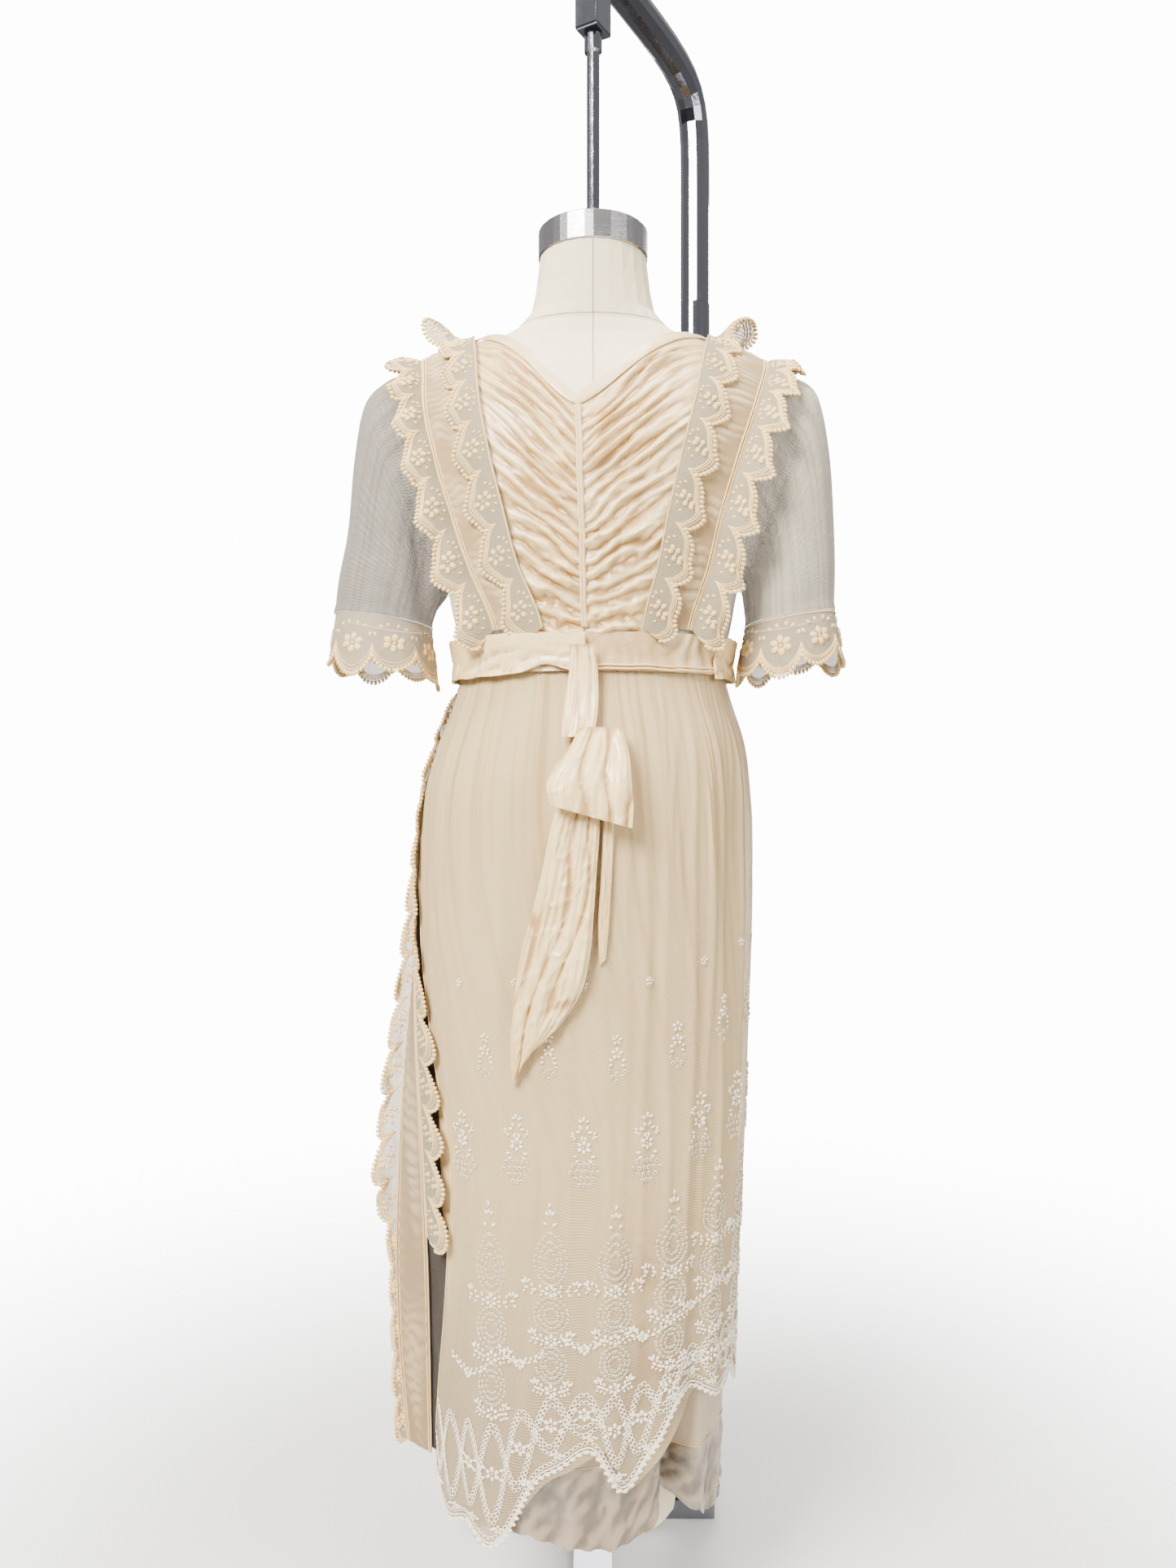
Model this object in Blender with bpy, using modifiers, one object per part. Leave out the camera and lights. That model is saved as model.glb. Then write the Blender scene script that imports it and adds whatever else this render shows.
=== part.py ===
"""A 1910s wedding dress of satin, net and lace, on an armless dress form and its stand.

Metres, +Z up, floor at z = 0, origin on the floor under the form's axis.
The back of the dress, with its V neck and sash ends, faces -Y. Left is -X.
"""

import math

import bmesh
import bpy
import numpy as np
from mathutils import Vector

COLLECTION = "wedding_dress"

SEAM = 0.0003
SATIN = 0.0015
NET = 0.0012
LACE = 0.0012
LEFT, RIGHT = -1, 1


class Table:
    """Smooth curves through the rows of a short table, read by its first column."""

    def __init__(self, columns, *rows):
        self.columns = columns.split()
        self.rows = np.array(rows, float)

    def at(self, column, key):
        keys = self.rows[:, 0]
        values = self.rows[:, self.columns.index(column)]
        slopes = np.gradient(values, keys)
        key = np.clip(np.asarray(key, float), keys[0], keys[-1])
        low = np.clip(np.searchsorted(keys, key) - 1, 0, len(keys) - 2)
        step = keys[low + 1] - keys[low]
        t = (key - keys[low]) / step
        rise = values[low + 1] - values[low]
        start = slopes[low] * step - rise
        end = rise - slopes[low + 1] * step
        return values[low] + rise * t + t * (1 - t) * (start * (1 - t) + end * t)

    def key_where(self, column, value):
        """The key at which a rising column reaches a value."""
        keys = np.linspace(self.rows[0, 0], self.rows[-1, 0], 400)
        return np.interp(value, self.at(column, keys), keys)


# The bodice from the waist seam, row 0, to the shoulder ridge, row 1.
# Each row is a ring that hangs lower towards the arms by its slope.
WAIST_Z = 1.136
TRUNK = Table(
    "row height slope width back front power",
    (0.00, WAIST_Z + 3 * SEAM, 0.00, 0.150, 0.100, 0.105, 2.0),
    (0.17, 1.220, 0.00, 0.166, 0.106, 0.125, 2.3),
    (0.34, 1.300, 0.00, 0.182, 0.112, 0.130, 2.5),
    (0.51, 1.380, 0.02, 0.196, 0.109, 0.115, 2.6),
    (0.64, 1.440, 0.08, 0.204, 0.096, 0.093, 2.6),
    (0.77, 1.500, 0.20, 0.208, 0.070, 0.065, 2.6),
    (0.86, 1.534, 0.29, 0.210, 0.048, 0.045, 2.6),
    (0.94, 1.557, 0.36, 0.212, 0.022, 0.021, 2.6),
    (1.00, 1.567, 0.39, 0.213, 0.000, 0.000, 2.6),
)
TRUNK_RUN = 0.455  # from the waist over the cloth to the ridge

# The skirt's inner surface, by height: an oval wider on the left.
SKIRT = Table(
    "z left right back front",
    (0.15, 0.173, 0.137, 0.110, 0.112),
    (0.25, 0.175, 0.143, 0.111, 0.112),
    (0.35, 0.177, 0.149, 0.113, 0.113),
    (0.45, 0.180, 0.156, 0.115, 0.115),
    (0.55, 0.185, 0.164, 0.118, 0.117),
    (0.65, 0.190, 0.170, 0.121, 0.119),
    (0.75, 0.194, 0.174, 0.125, 0.121),
    (0.85, 0.195, 0.177, 0.128, 0.123),
    (0.93, 0.193, 0.177, 0.129, 0.123),
    (1.00, 0.186, 0.175, 0.125, 0.120),
    (1.05, 0.172, 0.169, 0.117, 0.115),
    (1.10, 0.156, 0.156, 0.106, 0.109),
    (WAIST_Z, 0.150, 0.150, 0.100, 0.105),
)

# Hanging folds of both skirts, by angle from the centre back, degrees to the right.
FOLDS = Table(
    "angle spread depth top",
    (-172, 10, 0.007, 1.00),
    (-150, 9, 0.006, 0.90),
    (-128, 9, 0.008, 0.95),
    (-104, 9, 0.005, 0.85),
    (-62, 9, 0.006, 0.85),
    (-43, 9, 0.007, 0.95),
    (-24, 9, 0.005, 0.90),
    (-6, 9, 0.007, 0.85),
    (12, 9, 0.005, 0.95),
    (26, 7, 0.006, 0.80),
    (52, 8, 0.007, 0.90),
    (72, 9, 0.005, 0.85),
    (93, 10, 0.007, 0.95),
    (114, 9, 0.006, 0.85),
    (137, 10, 0.008, 0.95),
    (160, 9, 0.005, 0.90),
)
# Folds that only the net overskirt has.
NET_FOLDS = Table(
    "angle spread depth top",
    (-34, 7, 0.005, 1.05),
    (-15, 7, 0.006, 1.00),
    (4, 7, 0.005, 1.05),
    (33, 8, 0.008, 1.05),
    (62, 8, 0.006, 1.00),
    (84, 8, 0.005, 1.05),
    (125, 8, 0.006, 1.00),
    (149, 8, 0.005, 1.05),
    (186, 9, 0.007, 1.00),
    (214, 9, 0.006, 1.05),
)
FOLD_FOOT = 0.20  # where the folds are deepest

# The pleat of the underskirt that is folded in beside the form, at the right back.
PLEAT_ANGLE, PLEAT_SPREAD = 39, 12
PLEAT_DEPTH, PLEAT_TOP = 0.031, 0.60

COLOURS = {  # base colour, roughness, metallic
    "satin": ((0.86, 0.77, 0.60), 0.32, 0.0),
    "net": ((0.72, 0.66, 0.54), 0.8, 0.0),
    "sleeve_net": ((0.82, 0.80, 0.74), 0.8, 0.0),
    "crepe": ((0.70, 0.64, 0.52), 0.6, 0.0),
    "lace": ((0.84, 0.74, 0.53), 0.85, 0.0),
    "cotton": ((0.86, 0.85, 0.80), 0.75, 0.0),
    "canvas": ((0.80, 0.75, 0.66), 0.8, 0.0),
    "chrome": ((0.62, 0.62, 0.64), 0.18, 1.0),
}


def clear_scene():
    for thing in list(bpy.data.objects):
        bpy.data.objects.remove(thing, do_unlink=True)
    group = bpy.data.collections.new(COLLECTION)
    bpy.context.scene.collection.children.link(group)
    return group


GROUP = clear_scene()


def material(kind, name):
    colour, roughness, metallic = COLOURS[kind]
    made = bpy.data.materials.new(name)
    made.use_nodes = True
    shader = made.node_tree.nodes["Principled BSDF"]
    shader.inputs["Base Color"].default_value = (*colour, 1)
    shader.inputs["Roughness"].default_value = roughness
    shader.inputs["Metallic"].default_value = metallic
    made.diffuse_color = (*colour, 1)
    return made


def place(name, mesh, kind):
    part = bpy.data.objects.new(name, mesh)
    part.data.materials.append(material(kind, name))
    GROUP.objects.link(part)
    return part


def signed_volume(points, faces):
    corners = points[faces]
    return np.einsum("ij,ij->i", corners[:, 0], np.cross(corners[:, 1], corners[:, 2])).sum()


def wall(name, kind, inner, outer, ring=False):
    """A cloth wall between two grids of points, closed along its edges."""
    across, along = inner.shape[:2]
    points = np.concatenate([inner.reshape(-1, 3), outer.reshape(-1, 3)])

    def at(i, j, side):
        return side * across * along + (i % across) * along + j

    faces = []

    def quad(a, b, c, d):
        faces.extend([(a, b, c), (a, c, d)])

    steps = across if ring else across - 1
    for i in range(steps):
        for j in range(along - 1):
            quad(at(i, j, 1), at(i + 1, j, 1), at(i + 1, j + 1, 1), at(i, j + 1, 1))
            a, b, c, d = at(i, j, 0), at(i + 1, j, 0), at(i + 1, j + 1, 0), at(i, j + 1, 0)
            faces.extend([(a, c, b), (a, d, c)])
        quad(at(i, 0, 0), at(i + 1, 0, 0), at(i + 1, 0, 1), at(i, 0, 1))
        last = along - 1
        quad(at(i, last, 1), at(i + 1, last, 1), at(i + 1, last, 0), at(i, last, 0))
    if not ring:
        last = across - 1
        for j in range(along - 1):
            quad(at(0, j + 1, 0), at(0, j, 0), at(0, j, 1), at(0, j + 1, 1))
            quad(at(last, j, 0), at(last, j + 1, 0), at(last, j + 1, 1), at(last, j, 1))
    faces = np.array(faces)
    if signed_volume(points, faces) < 0:
        faces = faces[:, ::-1]
    mesh = bpy.data.meshes.new(name)
    mesh.from_pydata(points.tolist(), [], faces.tolist())
    mesh.shade_smooth()
    mesh.set_sharp_from_angle(angle=math.radians(50))
    return place(name, mesh, kind)


def grid_normals(points, ring=False):
    """Unit normals of a grid of points, on the side of (across) x (along)."""
    if ring:
        wrapped = np.concatenate([points[-1:], points, points[:1]])
        across = (wrapped[2:] - wrapped[:-2]) / 2
    else:
        across = np.gradient(points, axis=0)
    along = np.gradient(points, axis=1)
    normals = np.cross(across, along)
    return normals / np.maximum(np.linalg.norm(normals, axis=2, keepdims=True), 1e-12)


def sheet(name, kind, points, thickness, relief=0.0, ring=False):
    """A wall that stands out from a grid of points, its outer side raised by a relief."""
    normals = grid_normals(points, ring)
    rise = np.broadcast_to(np.asarray(relief, float), points.shape[:2])
    return wall(name, kind, points, points + normals * (thickness + rise)[..., None], ring)


def ease(value, low, high):
    """0 below low, 1 above high, smooth between."""
    t = np.clip((np.asarray(value, float) - low) / (high - low), 0, 1)
    return t * t * (3 - 2 * t)


def uneven(position, seed):
    """A steady wander between -1 and 1, different for each seed."""
    return (np.sin(2.3 * position + 1.7 * seed) + np.sin(5.1 * position + 4.1 * seed)) / 2


# Points on the bodice

def torso(angle, s):
    """A point by its angle from the centre and its place s from back waist, -1, to front, 1."""
    angle, s = np.broadcast_arrays(np.asarray(angle, float), np.asarray(s, float))
    row = 1 - np.abs(s)
    power = 2 / TRUNK.at("power", row)
    sine, cosine = np.sin(angle), np.cos(angle)
    x = TRUNK.at("width", row) * np.sign(sine) * np.abs(sine) ** power
    out = np.abs(cosine) ** power
    at_back = (s <= 0) == (cosine >= 0)
    y = np.where(at_back, -TRUNK.at("back", row), TRUNK.at("front", row)) * out
    z = TRUNK.at("height", row) - TRUNK.at("slope", row) * np.abs(x)
    return np.stack([x, y, z], axis=-1)


def on_torso(angle, s, lift):
    """The same point moved out from the bodice's surface."""
    step = 0.01
    angle, s, lift = np.broadcast_arrays(
        np.asarray(angle, float), np.asarray(s, float), np.asarray(lift, float)
    )
    across = torso(angle + step, s) - torso(angle - step, s)
    along = torso(angle, s + step) - torso(angle, s - step)
    normals = np.cross(across, along)
    normals /= np.linalg.norm(normals, axis=-1, keepdims=True)
    return torso(angle, s) + normals * lift[..., None]


def torso_angle(x, s):
    """The angle at which the bodice is x from its middle."""
    row = 1 - np.abs(s)
    share = np.clip(np.abs(x) / TRUNK.at("width", row), 0, 0.9995)
    return np.sign(x) * np.arcsin(share ** (TRUNK.at("power", row) / 2))


def row_at(height):
    return TRUNK.key_where("height", height)


# Points on the skirt

def skirt(angle, z, lift=0.0):
    """A point of the skirt by its angle in degrees and its height, moved out by lift."""
    angle = np.radians(np.asarray(angle, float))
    sine, cosine = np.sin(angle), -np.cos(angle)
    wide = np.where(sine > 0, SKIRT.at("right", z), SKIRT.at("left", z))
    deep = np.where(cosine < 0, SKIRT.at("back", z), SKIRT.at("front", z))
    length = np.hypot(sine / wide, cosine / deep)
    x = wide * sine + lift * sine / wide / length
    y = deep * cosine + lift * cosine / deep / length
    return np.stack(np.broadcast_arrays(x, y, np.asarray(z, float)), axis=-1)


def fold_relief(angle, z, folds):
    """How far the folds stand out, deeper towards the hem."""
    relief = 0.0
    for centre, spread, depth, top in folds.rows:
        away = (np.asarray(angle, float) - centre + 180) % 360 - 180
        grown = ease(top - np.asarray(z, float), 0, top - FOLD_FOOT)
        relief = relief + depth * grown * np.exp(-((away / spread) ** 2) * 1.6)
    return relief


# Bodice

# The ruched shoulder bands: how far each edge lies from the middle, by row.
BAND = Table(
    "row left_outer left_inner right_outer right_inner",
    (0.00, 0.100, 0.063, 0.098, 0.060),
    (0.08, 0.107, 0.069, 0.105, 0.066),
    (0.21, 0.133, 0.094, 0.125, 0.082),
    (0.33, 0.152, 0.109, 0.138, 0.093),
    (0.46, 0.170, 0.124, 0.156, 0.107),
    (0.60, 0.184, 0.136, 0.175, 0.122),
    (0.80, 0.190, 0.144, 0.194, 0.137),
    (1.00, 0.197, 0.151, 0.199, 0.148),
)
BAND_LIFT = 0.0045
UNDER_BAND = 0.0025  # what each panel stops short of the middle of the band above it
BAND_FOOT_Z = 1.1705

CENTRE_BACK_LOW, CENTRE_BACK_HIGH = -0.009, -0.017
V_BACK_Z, V_FRONT_Z = 1.424, 1.40
NECK_SHOULDER_X = 0.136
V_CURVE = 1.2

RUCHE_FOLDS = 18
RUCHE_DEPTH = 0.0055
RUCHE_COLUMNS = Table(
    "across weight",
    (0.0, 0.35),
    (0.22, 1.0),
    (0.50, 0.9),
    (0.78, 0.2),
    (1.0, 0.0),
)


def band_edge(side, edge, s):
    column = ("left_" if side == LEFT else "right_") + edge
    return side * BAND.at(column, 1 - np.abs(s))


def band_middle(side, s):
    return (band_edge(side, "outer", s) + band_edge(side, "inner", s)) / 2


def centre_back(row):
    return CENTRE_BACK_LOW + (CENTRE_BACK_HIGH - CENTRE_BACK_LOW) * row / row_at(V_BACK_Z)


def neck_row(x, middle, v_height, drop=0.0):
    """The row that the V neckline reaches at x, or a little below it."""
    v_row = row_at(v_height)
    reach = np.abs(np.where(x < middle, -NECK_SHOULDER_X, NECK_SHOULDER_X) - middle)
    share = np.clip(np.abs(x - middle) / reach, 0, 1)
    return np.minimum(v_row + (1 - v_row) * share**V_CURVE, 1) - drop


def make_back(side):
    """A satin half back, gathered into folds that run down to the centre back."""
    columns = RUCHE_COLUMNS.rows[:, 0]
    weights = RUCHE_COLUMNS.rows[:, 1]
    rows = np.linspace(0, 1, 3 * RUCHE_FOLDS + 1)
    across, up = np.meshgrid(columns, rows, indexing="ij")
    top_x = centre_back(0.6) + (band_middle(side, 0.3) - centre_back(0.6)) * across
    top = neck_row(top_x, centre_back(0.6), V_BACK_Z, 0.006)
    row = up * top
    s = row - 1
    start = centre_back(row) + side * SEAM
    x = start + (band_middle(side, s) - side * UNDER_BAND - start) * across
    phase = up * RUCHE_FOLDS + 0.35 * uneven(3 * across + 6 * up, side)
    rounded = np.abs(np.sin(math.pi * phase)) ** 0.8
    height = 0.8 + 0.3 * uneven(9 * up + 2 * across, 3 * side)
    ends = ease(up, 0.05, 0.12) * (1 - ease(up, 0.90, 0.95))
    relief = RUCHE_DEPTH * rounded * height * weights[:, None] * ends
    angle = torso_angle(x, s)
    name = "bodice_back_left" if side == LEFT else "bodice_back_right"
    wall(name, "satin", on_torso(angle, s, 0), on_torso(angle, s, SATIN + relief))


def make_front():
    """The front of the bodice between the two bands, plain, with its own V neck."""
    share = np.linspace(-1, 1, 13)
    up = np.linspace(0, 1, 7)
    across, up = np.meshgrid(share, up, indexing="ij")
    reach = np.where(across < 0, -band_middle(LEFT, 0.3), band_middle(RIGHT, 0.3))
    top = neck_row(reach * across, 0, V_FRONT_Z, 0.006)
    s = 1 - up * top
    reach = np.where(across < 0, -band_middle(LEFT, s), band_middle(RIGHT, s)) - UNDER_BAND
    angle = torso_angle(reach * across, s)
    gathers = 0.0012 * (0.5 + 0.5 * np.cos(12 * math.pi * across)) * (1 - ease(up, 0.1, 0.7))
    wall("bodice_front", "satin", on_torso(angle, s, 0), on_torso(angle, s, SATIN + gathers))


# The armhole: an oval about the side, as a row, its rise and its turn from the side.
ARMHOLE_ROW, ARMHOLE_RISE, ARMHOLE_TURN = 0.555, 0.375, math.radians(26)
SIDE_TOP_ROW = 0.60


def make_side(side):
    """The cotton side, from band to band under the arm."""
    share = np.linspace(0, 1, 11)
    up = np.linspace(0, 1, 6)
    across, up = np.meshgrid(share, up, indexing="ij")
    low = float(torso_angle(np.abs(band_middle(side, -0.6)), -0.6))
    turn = np.abs(2 * across - 1) * (math.pi / 2 - low) / ARMHOLE_TURN
    hollow = 0.96 * ARMHOLE_RISE * np.sqrt(np.clip(1 - turn**2, 0, 1))
    top = np.where(turn < 1, ARMHOLE_ROW - hollow, SIDE_TOP_ROW)
    row = up * top
    s = row - 1
    middle = np.abs(band_middle(side, s)) + UNDER_BAND
    low = torso_angle(middle, s)
    angle = low + (math.pi - 2 * low) * across
    name = "bodice_side_left" if side == LEFT else "bodice_side_right"
    wall(name, "cotton", on_torso(side * angle, s, 0), on_torso(side * angle, s, NET))


BINDING_WIDTH = 0.0125
BINDING_LIFT = 0.0030


def make_binding():
    """The flat satin binding round the neck, a V at back and front."""
    share = np.linspace(0, 1, 9)[:-1]
    line = []
    for v_height, back in ((V_BACK_Z, True), (V_FRONT_Z, False)):
        middle = CENTRE_BACK_HIGH if back else 0.0
        sides = (RIGHT, LEFT) if back else (LEFT, RIGHT)
        for side, outwards in zip(sides, (False, True)):
            steps = share if outwards else 1 - share
            for step in steps:
                x = middle + (side * NECK_SHOULDER_X - middle) * step
                row = float(neck_row(x, middle, v_height))
                line.append((x, (row - 1 if back else 1 - row) * TRUNK_RUN))
    line = np.array(line)
    following = np.roll(line, -1, axis=0) - line
    before = line - np.roll(line, 1, axis=0)
    turns = following / np.linalg.norm(following, axis=1, keepdims=True)
    turns = turns + before / np.linalg.norm(before, axis=1, keepdims=True)
    turns /= np.linalg.norm(turns, axis=1, keepdims=True)
    out = np.stack([-turns[:, 1], turns[:, 0]], axis=1)
    if (out * line).sum() < 0:
        out = -out
    points = np.stack([line, line + out * BINDING_WIDTH], axis=1)
    x, s = points[..., 0], points[..., 1] / TRUNK_RUN
    angle = torso_angle(x, s)
    inner = on_torso(angle, s, BINDING_LIFT)
    wall("neck_binding", "satin", inner, on_torso(angle, s, BINDING_LIFT + SATIN), ring=True)


PLACKET_WIDTH = 0.006
PLACKET_LIFT = 0.0044
PLACKET_TOP = 0.036  # how many rows it ends below the V, clear of the binding


def make_placket():
    """The piped closing down the centre back."""
    row = np.linspace(row_at(BAND_FOOT_Z), row_at(V_BACK_Z) - PLACKET_TOP, 11)
    across, row = np.meshgrid((-0.5, 0.0, 0.5), row, indexing="ij")
    s = row - 1
    angle = torso_angle(centre_back(row) + PLACKET_WIDTH * across, s)
    crown = 0.0012 + 0.0012 * (across == 0)
    inner = on_torso(angle, s, PLACKET_LIFT)
    wall("back_placket", "satin", inner, on_torso(angle, s, PLACKET_LIFT + crown))


BAND_WAVES = 19
BAND_CORD, BAND_WAVE = 0.0022, 0.0018


def make_band(side):
    """A ruched net band with corded edges, from the back waist over to the front waist."""
    foot = 1 - row_at(BAND_FOOT_Z)
    s, across = np.meshgrid(
        np.linspace(-foot, foot, 2 * BAND_WAVES + 1), (0.0, 0.14, 0.86, 1.0), indexing="ij"
    )
    inner_x, outer_x = band_edge(side, "inner", s), band_edge(side, "outer", s)
    angle = torso_angle(inner_x + (outer_x - inner_x) * across, s)
    edge = (across == 0) | (across == 1)
    wave = 0.5 + 0.5 * np.cos(2 * math.pi * BAND_WAVES * (s + foot) / (2 * foot))
    relief = np.where(edge, BAND_CORD, BAND_WAVE * wave)
    name = "shoulder_band_left" if side == LEFT else "shoulder_band_right"
    wall(
        name,
        "net",
        on_torso(angle, s, BAND_LIFT),
        on_torso(angle, s, BAND_LIFT + NET + relief),
    )


# Lace edging: pointed scallops, four steps to each.
SCALLOP = (0.5, 0.86, 1.0, 0.86)


def scallops(count):
    """The depth of each step of an edging, from valley to valley."""
    return np.array([SCALLOP[i % len(SCALLOP)] for i in range(len(SCALLOP) * count + 1)])


BAND_SCALLOPS = 15
OUTER_LACE_DEPTH = 0.039
# The inner edging starts on the satin and turns out over the band's edge.
INNER_LACE_START, INNER_LACE_REACH = 0.015, 0.021
OVER_BAND = 0.0086
RIDGE_FLARE, RIDGE_SPREAD = 0.036, 0.032  # how its scallop stands up on the shoulder


def make_band_lace(side, edge):
    """The lace that edges a band, out over the sleeve or in over the satin."""
    depth = scallops(BAND_SCALLOPS)
    foot = 1 - row_at(BAND_FOOT_Z + 0.001)
    s = np.linspace(-foot, foot, len(depth))
    wander = 1 + 0.12 * uneven(0.6 * np.arange(len(depth)), side)
    edge_x = band_edge(side, edge, s)
    if edge == "outer":
        root_x = edge_x + side * 4 * SEAM
        root = on_torso(torso_angle(root_x, s), s, BAND_LIFT)
        # It stands out level over the sleeve and droops a little.
        outwards = 0.55 * np.sign(s) * np.sin(math.pi * np.clip(np.abs(s) / 0.9, 0, 1))
        lean = np.stack([0 * s + side, outwards, -0.12 - 0.28 * np.abs(s)], axis=-1)
        lean /= np.linalg.norm(lean, axis=1, keepdims=True)
        tip = root + lean * (OUTER_LACE_DEPTH * depth * wander)[:, None]
        facing = np.stack([0 * s, 1.6 * s, 1.2 - np.abs(s)], axis=-1)
        facing /= np.linalg.norm(facing, axis=1, keepdims=True)
        points = np.stack([root, tip], axis=1)
        outer = points + (facing * LACE)[:, None]
    else:
        reach = INNER_LACE_REACH * (1.7 * depth * wander - 0.7)
        x = np.stack([edge_x - side * INNER_LACE_START, edge_x, edge_x + side * reach], axis=1)
        place_s = np.stack([s, s, s], axis=1)
        flare = RIDGE_FLARE * np.exp(-((s / RIDGE_SPREAD) ** 2))
        lift = OVER_BAND + np.stack([-0.0006 + 0 * s, 0.1 * flare, flare], axis=1)
        angle = torso_angle(x, place_s)
        points = on_torso(angle, place_s, lift)
        outer = on_torso(angle, place_s, lift + LACE)
    name = "band_lace_" + edge + ("_left" if side == LEFT else "_right")
    wall(name, "lace", points, outer)


# Sleeves

# Rings of the left sleeve, a fan about the armpit: its inner and outer points, and half its depth.
LEFT_SLEEVE = Table(
    "ring inner_x inner_z outer_x outer_z half_depth",
    (1, 0.173, 1.229, 0.240, 1.468, 0.053),
    (2, 0.175, 1.222, 0.266, 1.440, 0.056),
    (3, 0.177, 1.216, 0.279, 1.375, 0.060),
    (4, 0.181, 1.208, 0.286, 1.300, 0.064),
    (5, 0.186, 1.198, 0.294, 1.245, 0.068),
    (6, 0.190, 1.182, 0.299, 1.197, 0.069),
)
RIGHT_SLEEVE = Table(
    "ring inner_x inner_z outer_x outer_z half_depth",
    (1, 0.173, 1.232, 0.248, 1.466, 0.053),
    (2, 0.175, 1.226, 0.262, 1.440, 0.056),
    (3, 0.177, 1.220, 0.272, 1.380, 0.060),
    (4, 0.178, 1.212, 0.277, 1.310, 0.064),
    (5, 0.179, 1.202, 0.280, 1.250, 0.068),
    (6, 0.180, 1.184, 0.280, 1.200, 0.069),
)
ARMHOLE_LIFT = 0.0021
SLEEVE_SIDES = 20
# Soft lengthwise folds of a sleeve, by the angle round it, degrees from its outer side.
SLEEVE_FOLDS = Table(
    "angle spread depth",
    (-140, 22, 0.004),
    (-95, 18, 0.005),
    (-50, 20, 0.004),
    (40, 20, 0.005),
    (85, 20, 0.004),
    (135, 22, 0.004),
)


def sleeve_points(side):
    table = LEFT_SLEEVE if side == LEFT else RIGHT_SLEEVE
    turn = np.linspace(0, 2 * math.pi, SLEEVE_SIDES, endpoint=False)
    row = ARMHOLE_ROW + ARMHOLE_RISE * np.cos(turn)
    angle = side * (math.pi / 2 + ARMHOLE_TURN * np.sin(turn))
    rings = [on_torso(angle, row - 1, ARMHOLE_LIFT)]
    degrees = np.degrees(turn)
    for ring, inner_x, inner_z, outer_x, outer_z, half_depth in table.rows:
        relief = 0.0
        for centre, spread, depth in SLEEVE_FOLDS.rows:
            away = (degrees - centre + 180) % 360 - 180
            relief = relief + depth * ring / 6 * np.exp(-((away / spread) ** 2))
        middle = np.array([side * (inner_x + outer_x) / 2, 0, (inner_z + outer_z) / 2])
        reach = np.array([side * (outer_x - inner_x) / 2, 0, (outer_z - inner_z) / 2])
        length = np.linalg.norm(reach)
        points = (
            middle
            + np.outer(np.cos(turn) * (1 + relief / length), reach)
            + np.outer(np.sin(turn) * (half_depth + relief), (0, 1, 0))
        )
        rings.append(points)
    points = np.stack(rings, axis=1)
    return points if side == LEFT else points[::-1]


def make_sleeve(side):
    name = "sleeve_left" if side == LEFT else "sleeve_right"
    sheet(name, "sleeve_net", sleeve_points(side), NET, ring=True)


CUFF_SCALLOPS = 8
CUFF_DEPTH, CUFF_FLARE = 0.062, 0.009


def make_cuff(side):
    """The scalloped lace that hangs from a sleeve's edge, flared a little."""
    hem = sleeve_points(side)[:, -1]
    middle = hem.mean(axis=0)
    depth = scallops(CUFF_SCALLOPS)[:-1]
    turn = np.arange(len(depth)) / len(depth) * len(hem)
    low = turn.astype(int)
    part = (turn - low)[:, None]
    root = hem[low] * (1 - part) + hem[(low + 1) % len(hem)] * part
    out = root - middle
    out[:, 2] = 0
    out /= np.linalg.norm(out, axis=1, keepdims=True)
    long = CUFF_DEPTH * (0.35 + 0.65 * depth) * (1 + 0.1 * uneven(0.7 * turn, side))
    root = root - np.array([0, 0, 1]) * 3 * SEAM
    tip = root + out * CUFF_FLARE - np.array([0, 0, 1]) * long[:, None]
    points = np.stack([root, tip], axis=1)
    name = "cuff_lace_left" if side == LEFT else "cuff_lace_right"
    sheet(name, "lace", points, LACE, ring=True)


# Skirts

SKIRT_TOP_Z = WAIST_Z - 2 * SEAM
UNDER_ROWS = (SKIRT_TOP_Z, 1.10, 1.05, 0.98, 0.86, 0.60, 0.42)
OVER_ROWS = (SKIRT_TOP_Z, 1.10, 1.05, 0.98, 0.86, 0.72, 0.56)
HEM_SEAM_Z = 0.266
OVER_WAIST_LIFT, OVER_LIFT, OVER_FOOT_LIFT = 0.0019, 0.0046, 0.003


def under_angles():
    """Even steps round the underskirt, closer together in its folded pleat."""
    wide = np.arange(PLEAT_ANGLE + PLEAT_SPREAD, PLEAT_ANGLE - PLEAT_SPREAD + 360, 7.0)
    close = np.arange(PLEAT_ANGLE - PLEAT_SPREAD, PLEAT_ANGLE + PLEAT_SPREAD, 3.0)
    return np.concatenate([wide, close])


def under_point(angle, z):
    away = (np.asarray(angle, float) - PLEAT_ANGLE + 180) % 360 - 180
    folded = np.cos(np.clip(away / PLEAT_SPREAD, -1, 1) * math.pi / 2) ** 2
    inwards = PLEAT_DEPTH * folded * ease(PLEAT_TOP - z, 0, PLEAT_TOP - 0.27)
    return skirt(angle, z, fold_relief(angle, z, FOLDS) - inwards)


def make_underskirt():
    angle, z = np.meshgrid(under_angles(), (*UNDER_ROWS, HEM_SEAM_Z), indexing="ij")
    sheet("underskirt", "crepe", under_point(angle, z)[::-1], NET, ring=True)


# The underskirt's hem, by angle: it dips at the left back and lifts beside the form.
HEM = Table(
    "angle z",
    (-180, 0.200),
    (-120, 0.196),
    (-80, 0.190),
    (-52, 0.186),
    (-28, 0.192),
    (-12, 0.184),
    (2, 0.180),
    (16, 0.186),
    (30, 0.208),
    (39, 0.220),
    (48, 0.202),
    (62, 0.186),
    (90, 0.190),
    (130, 0.196),
    (180, 0.200),
)


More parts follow.
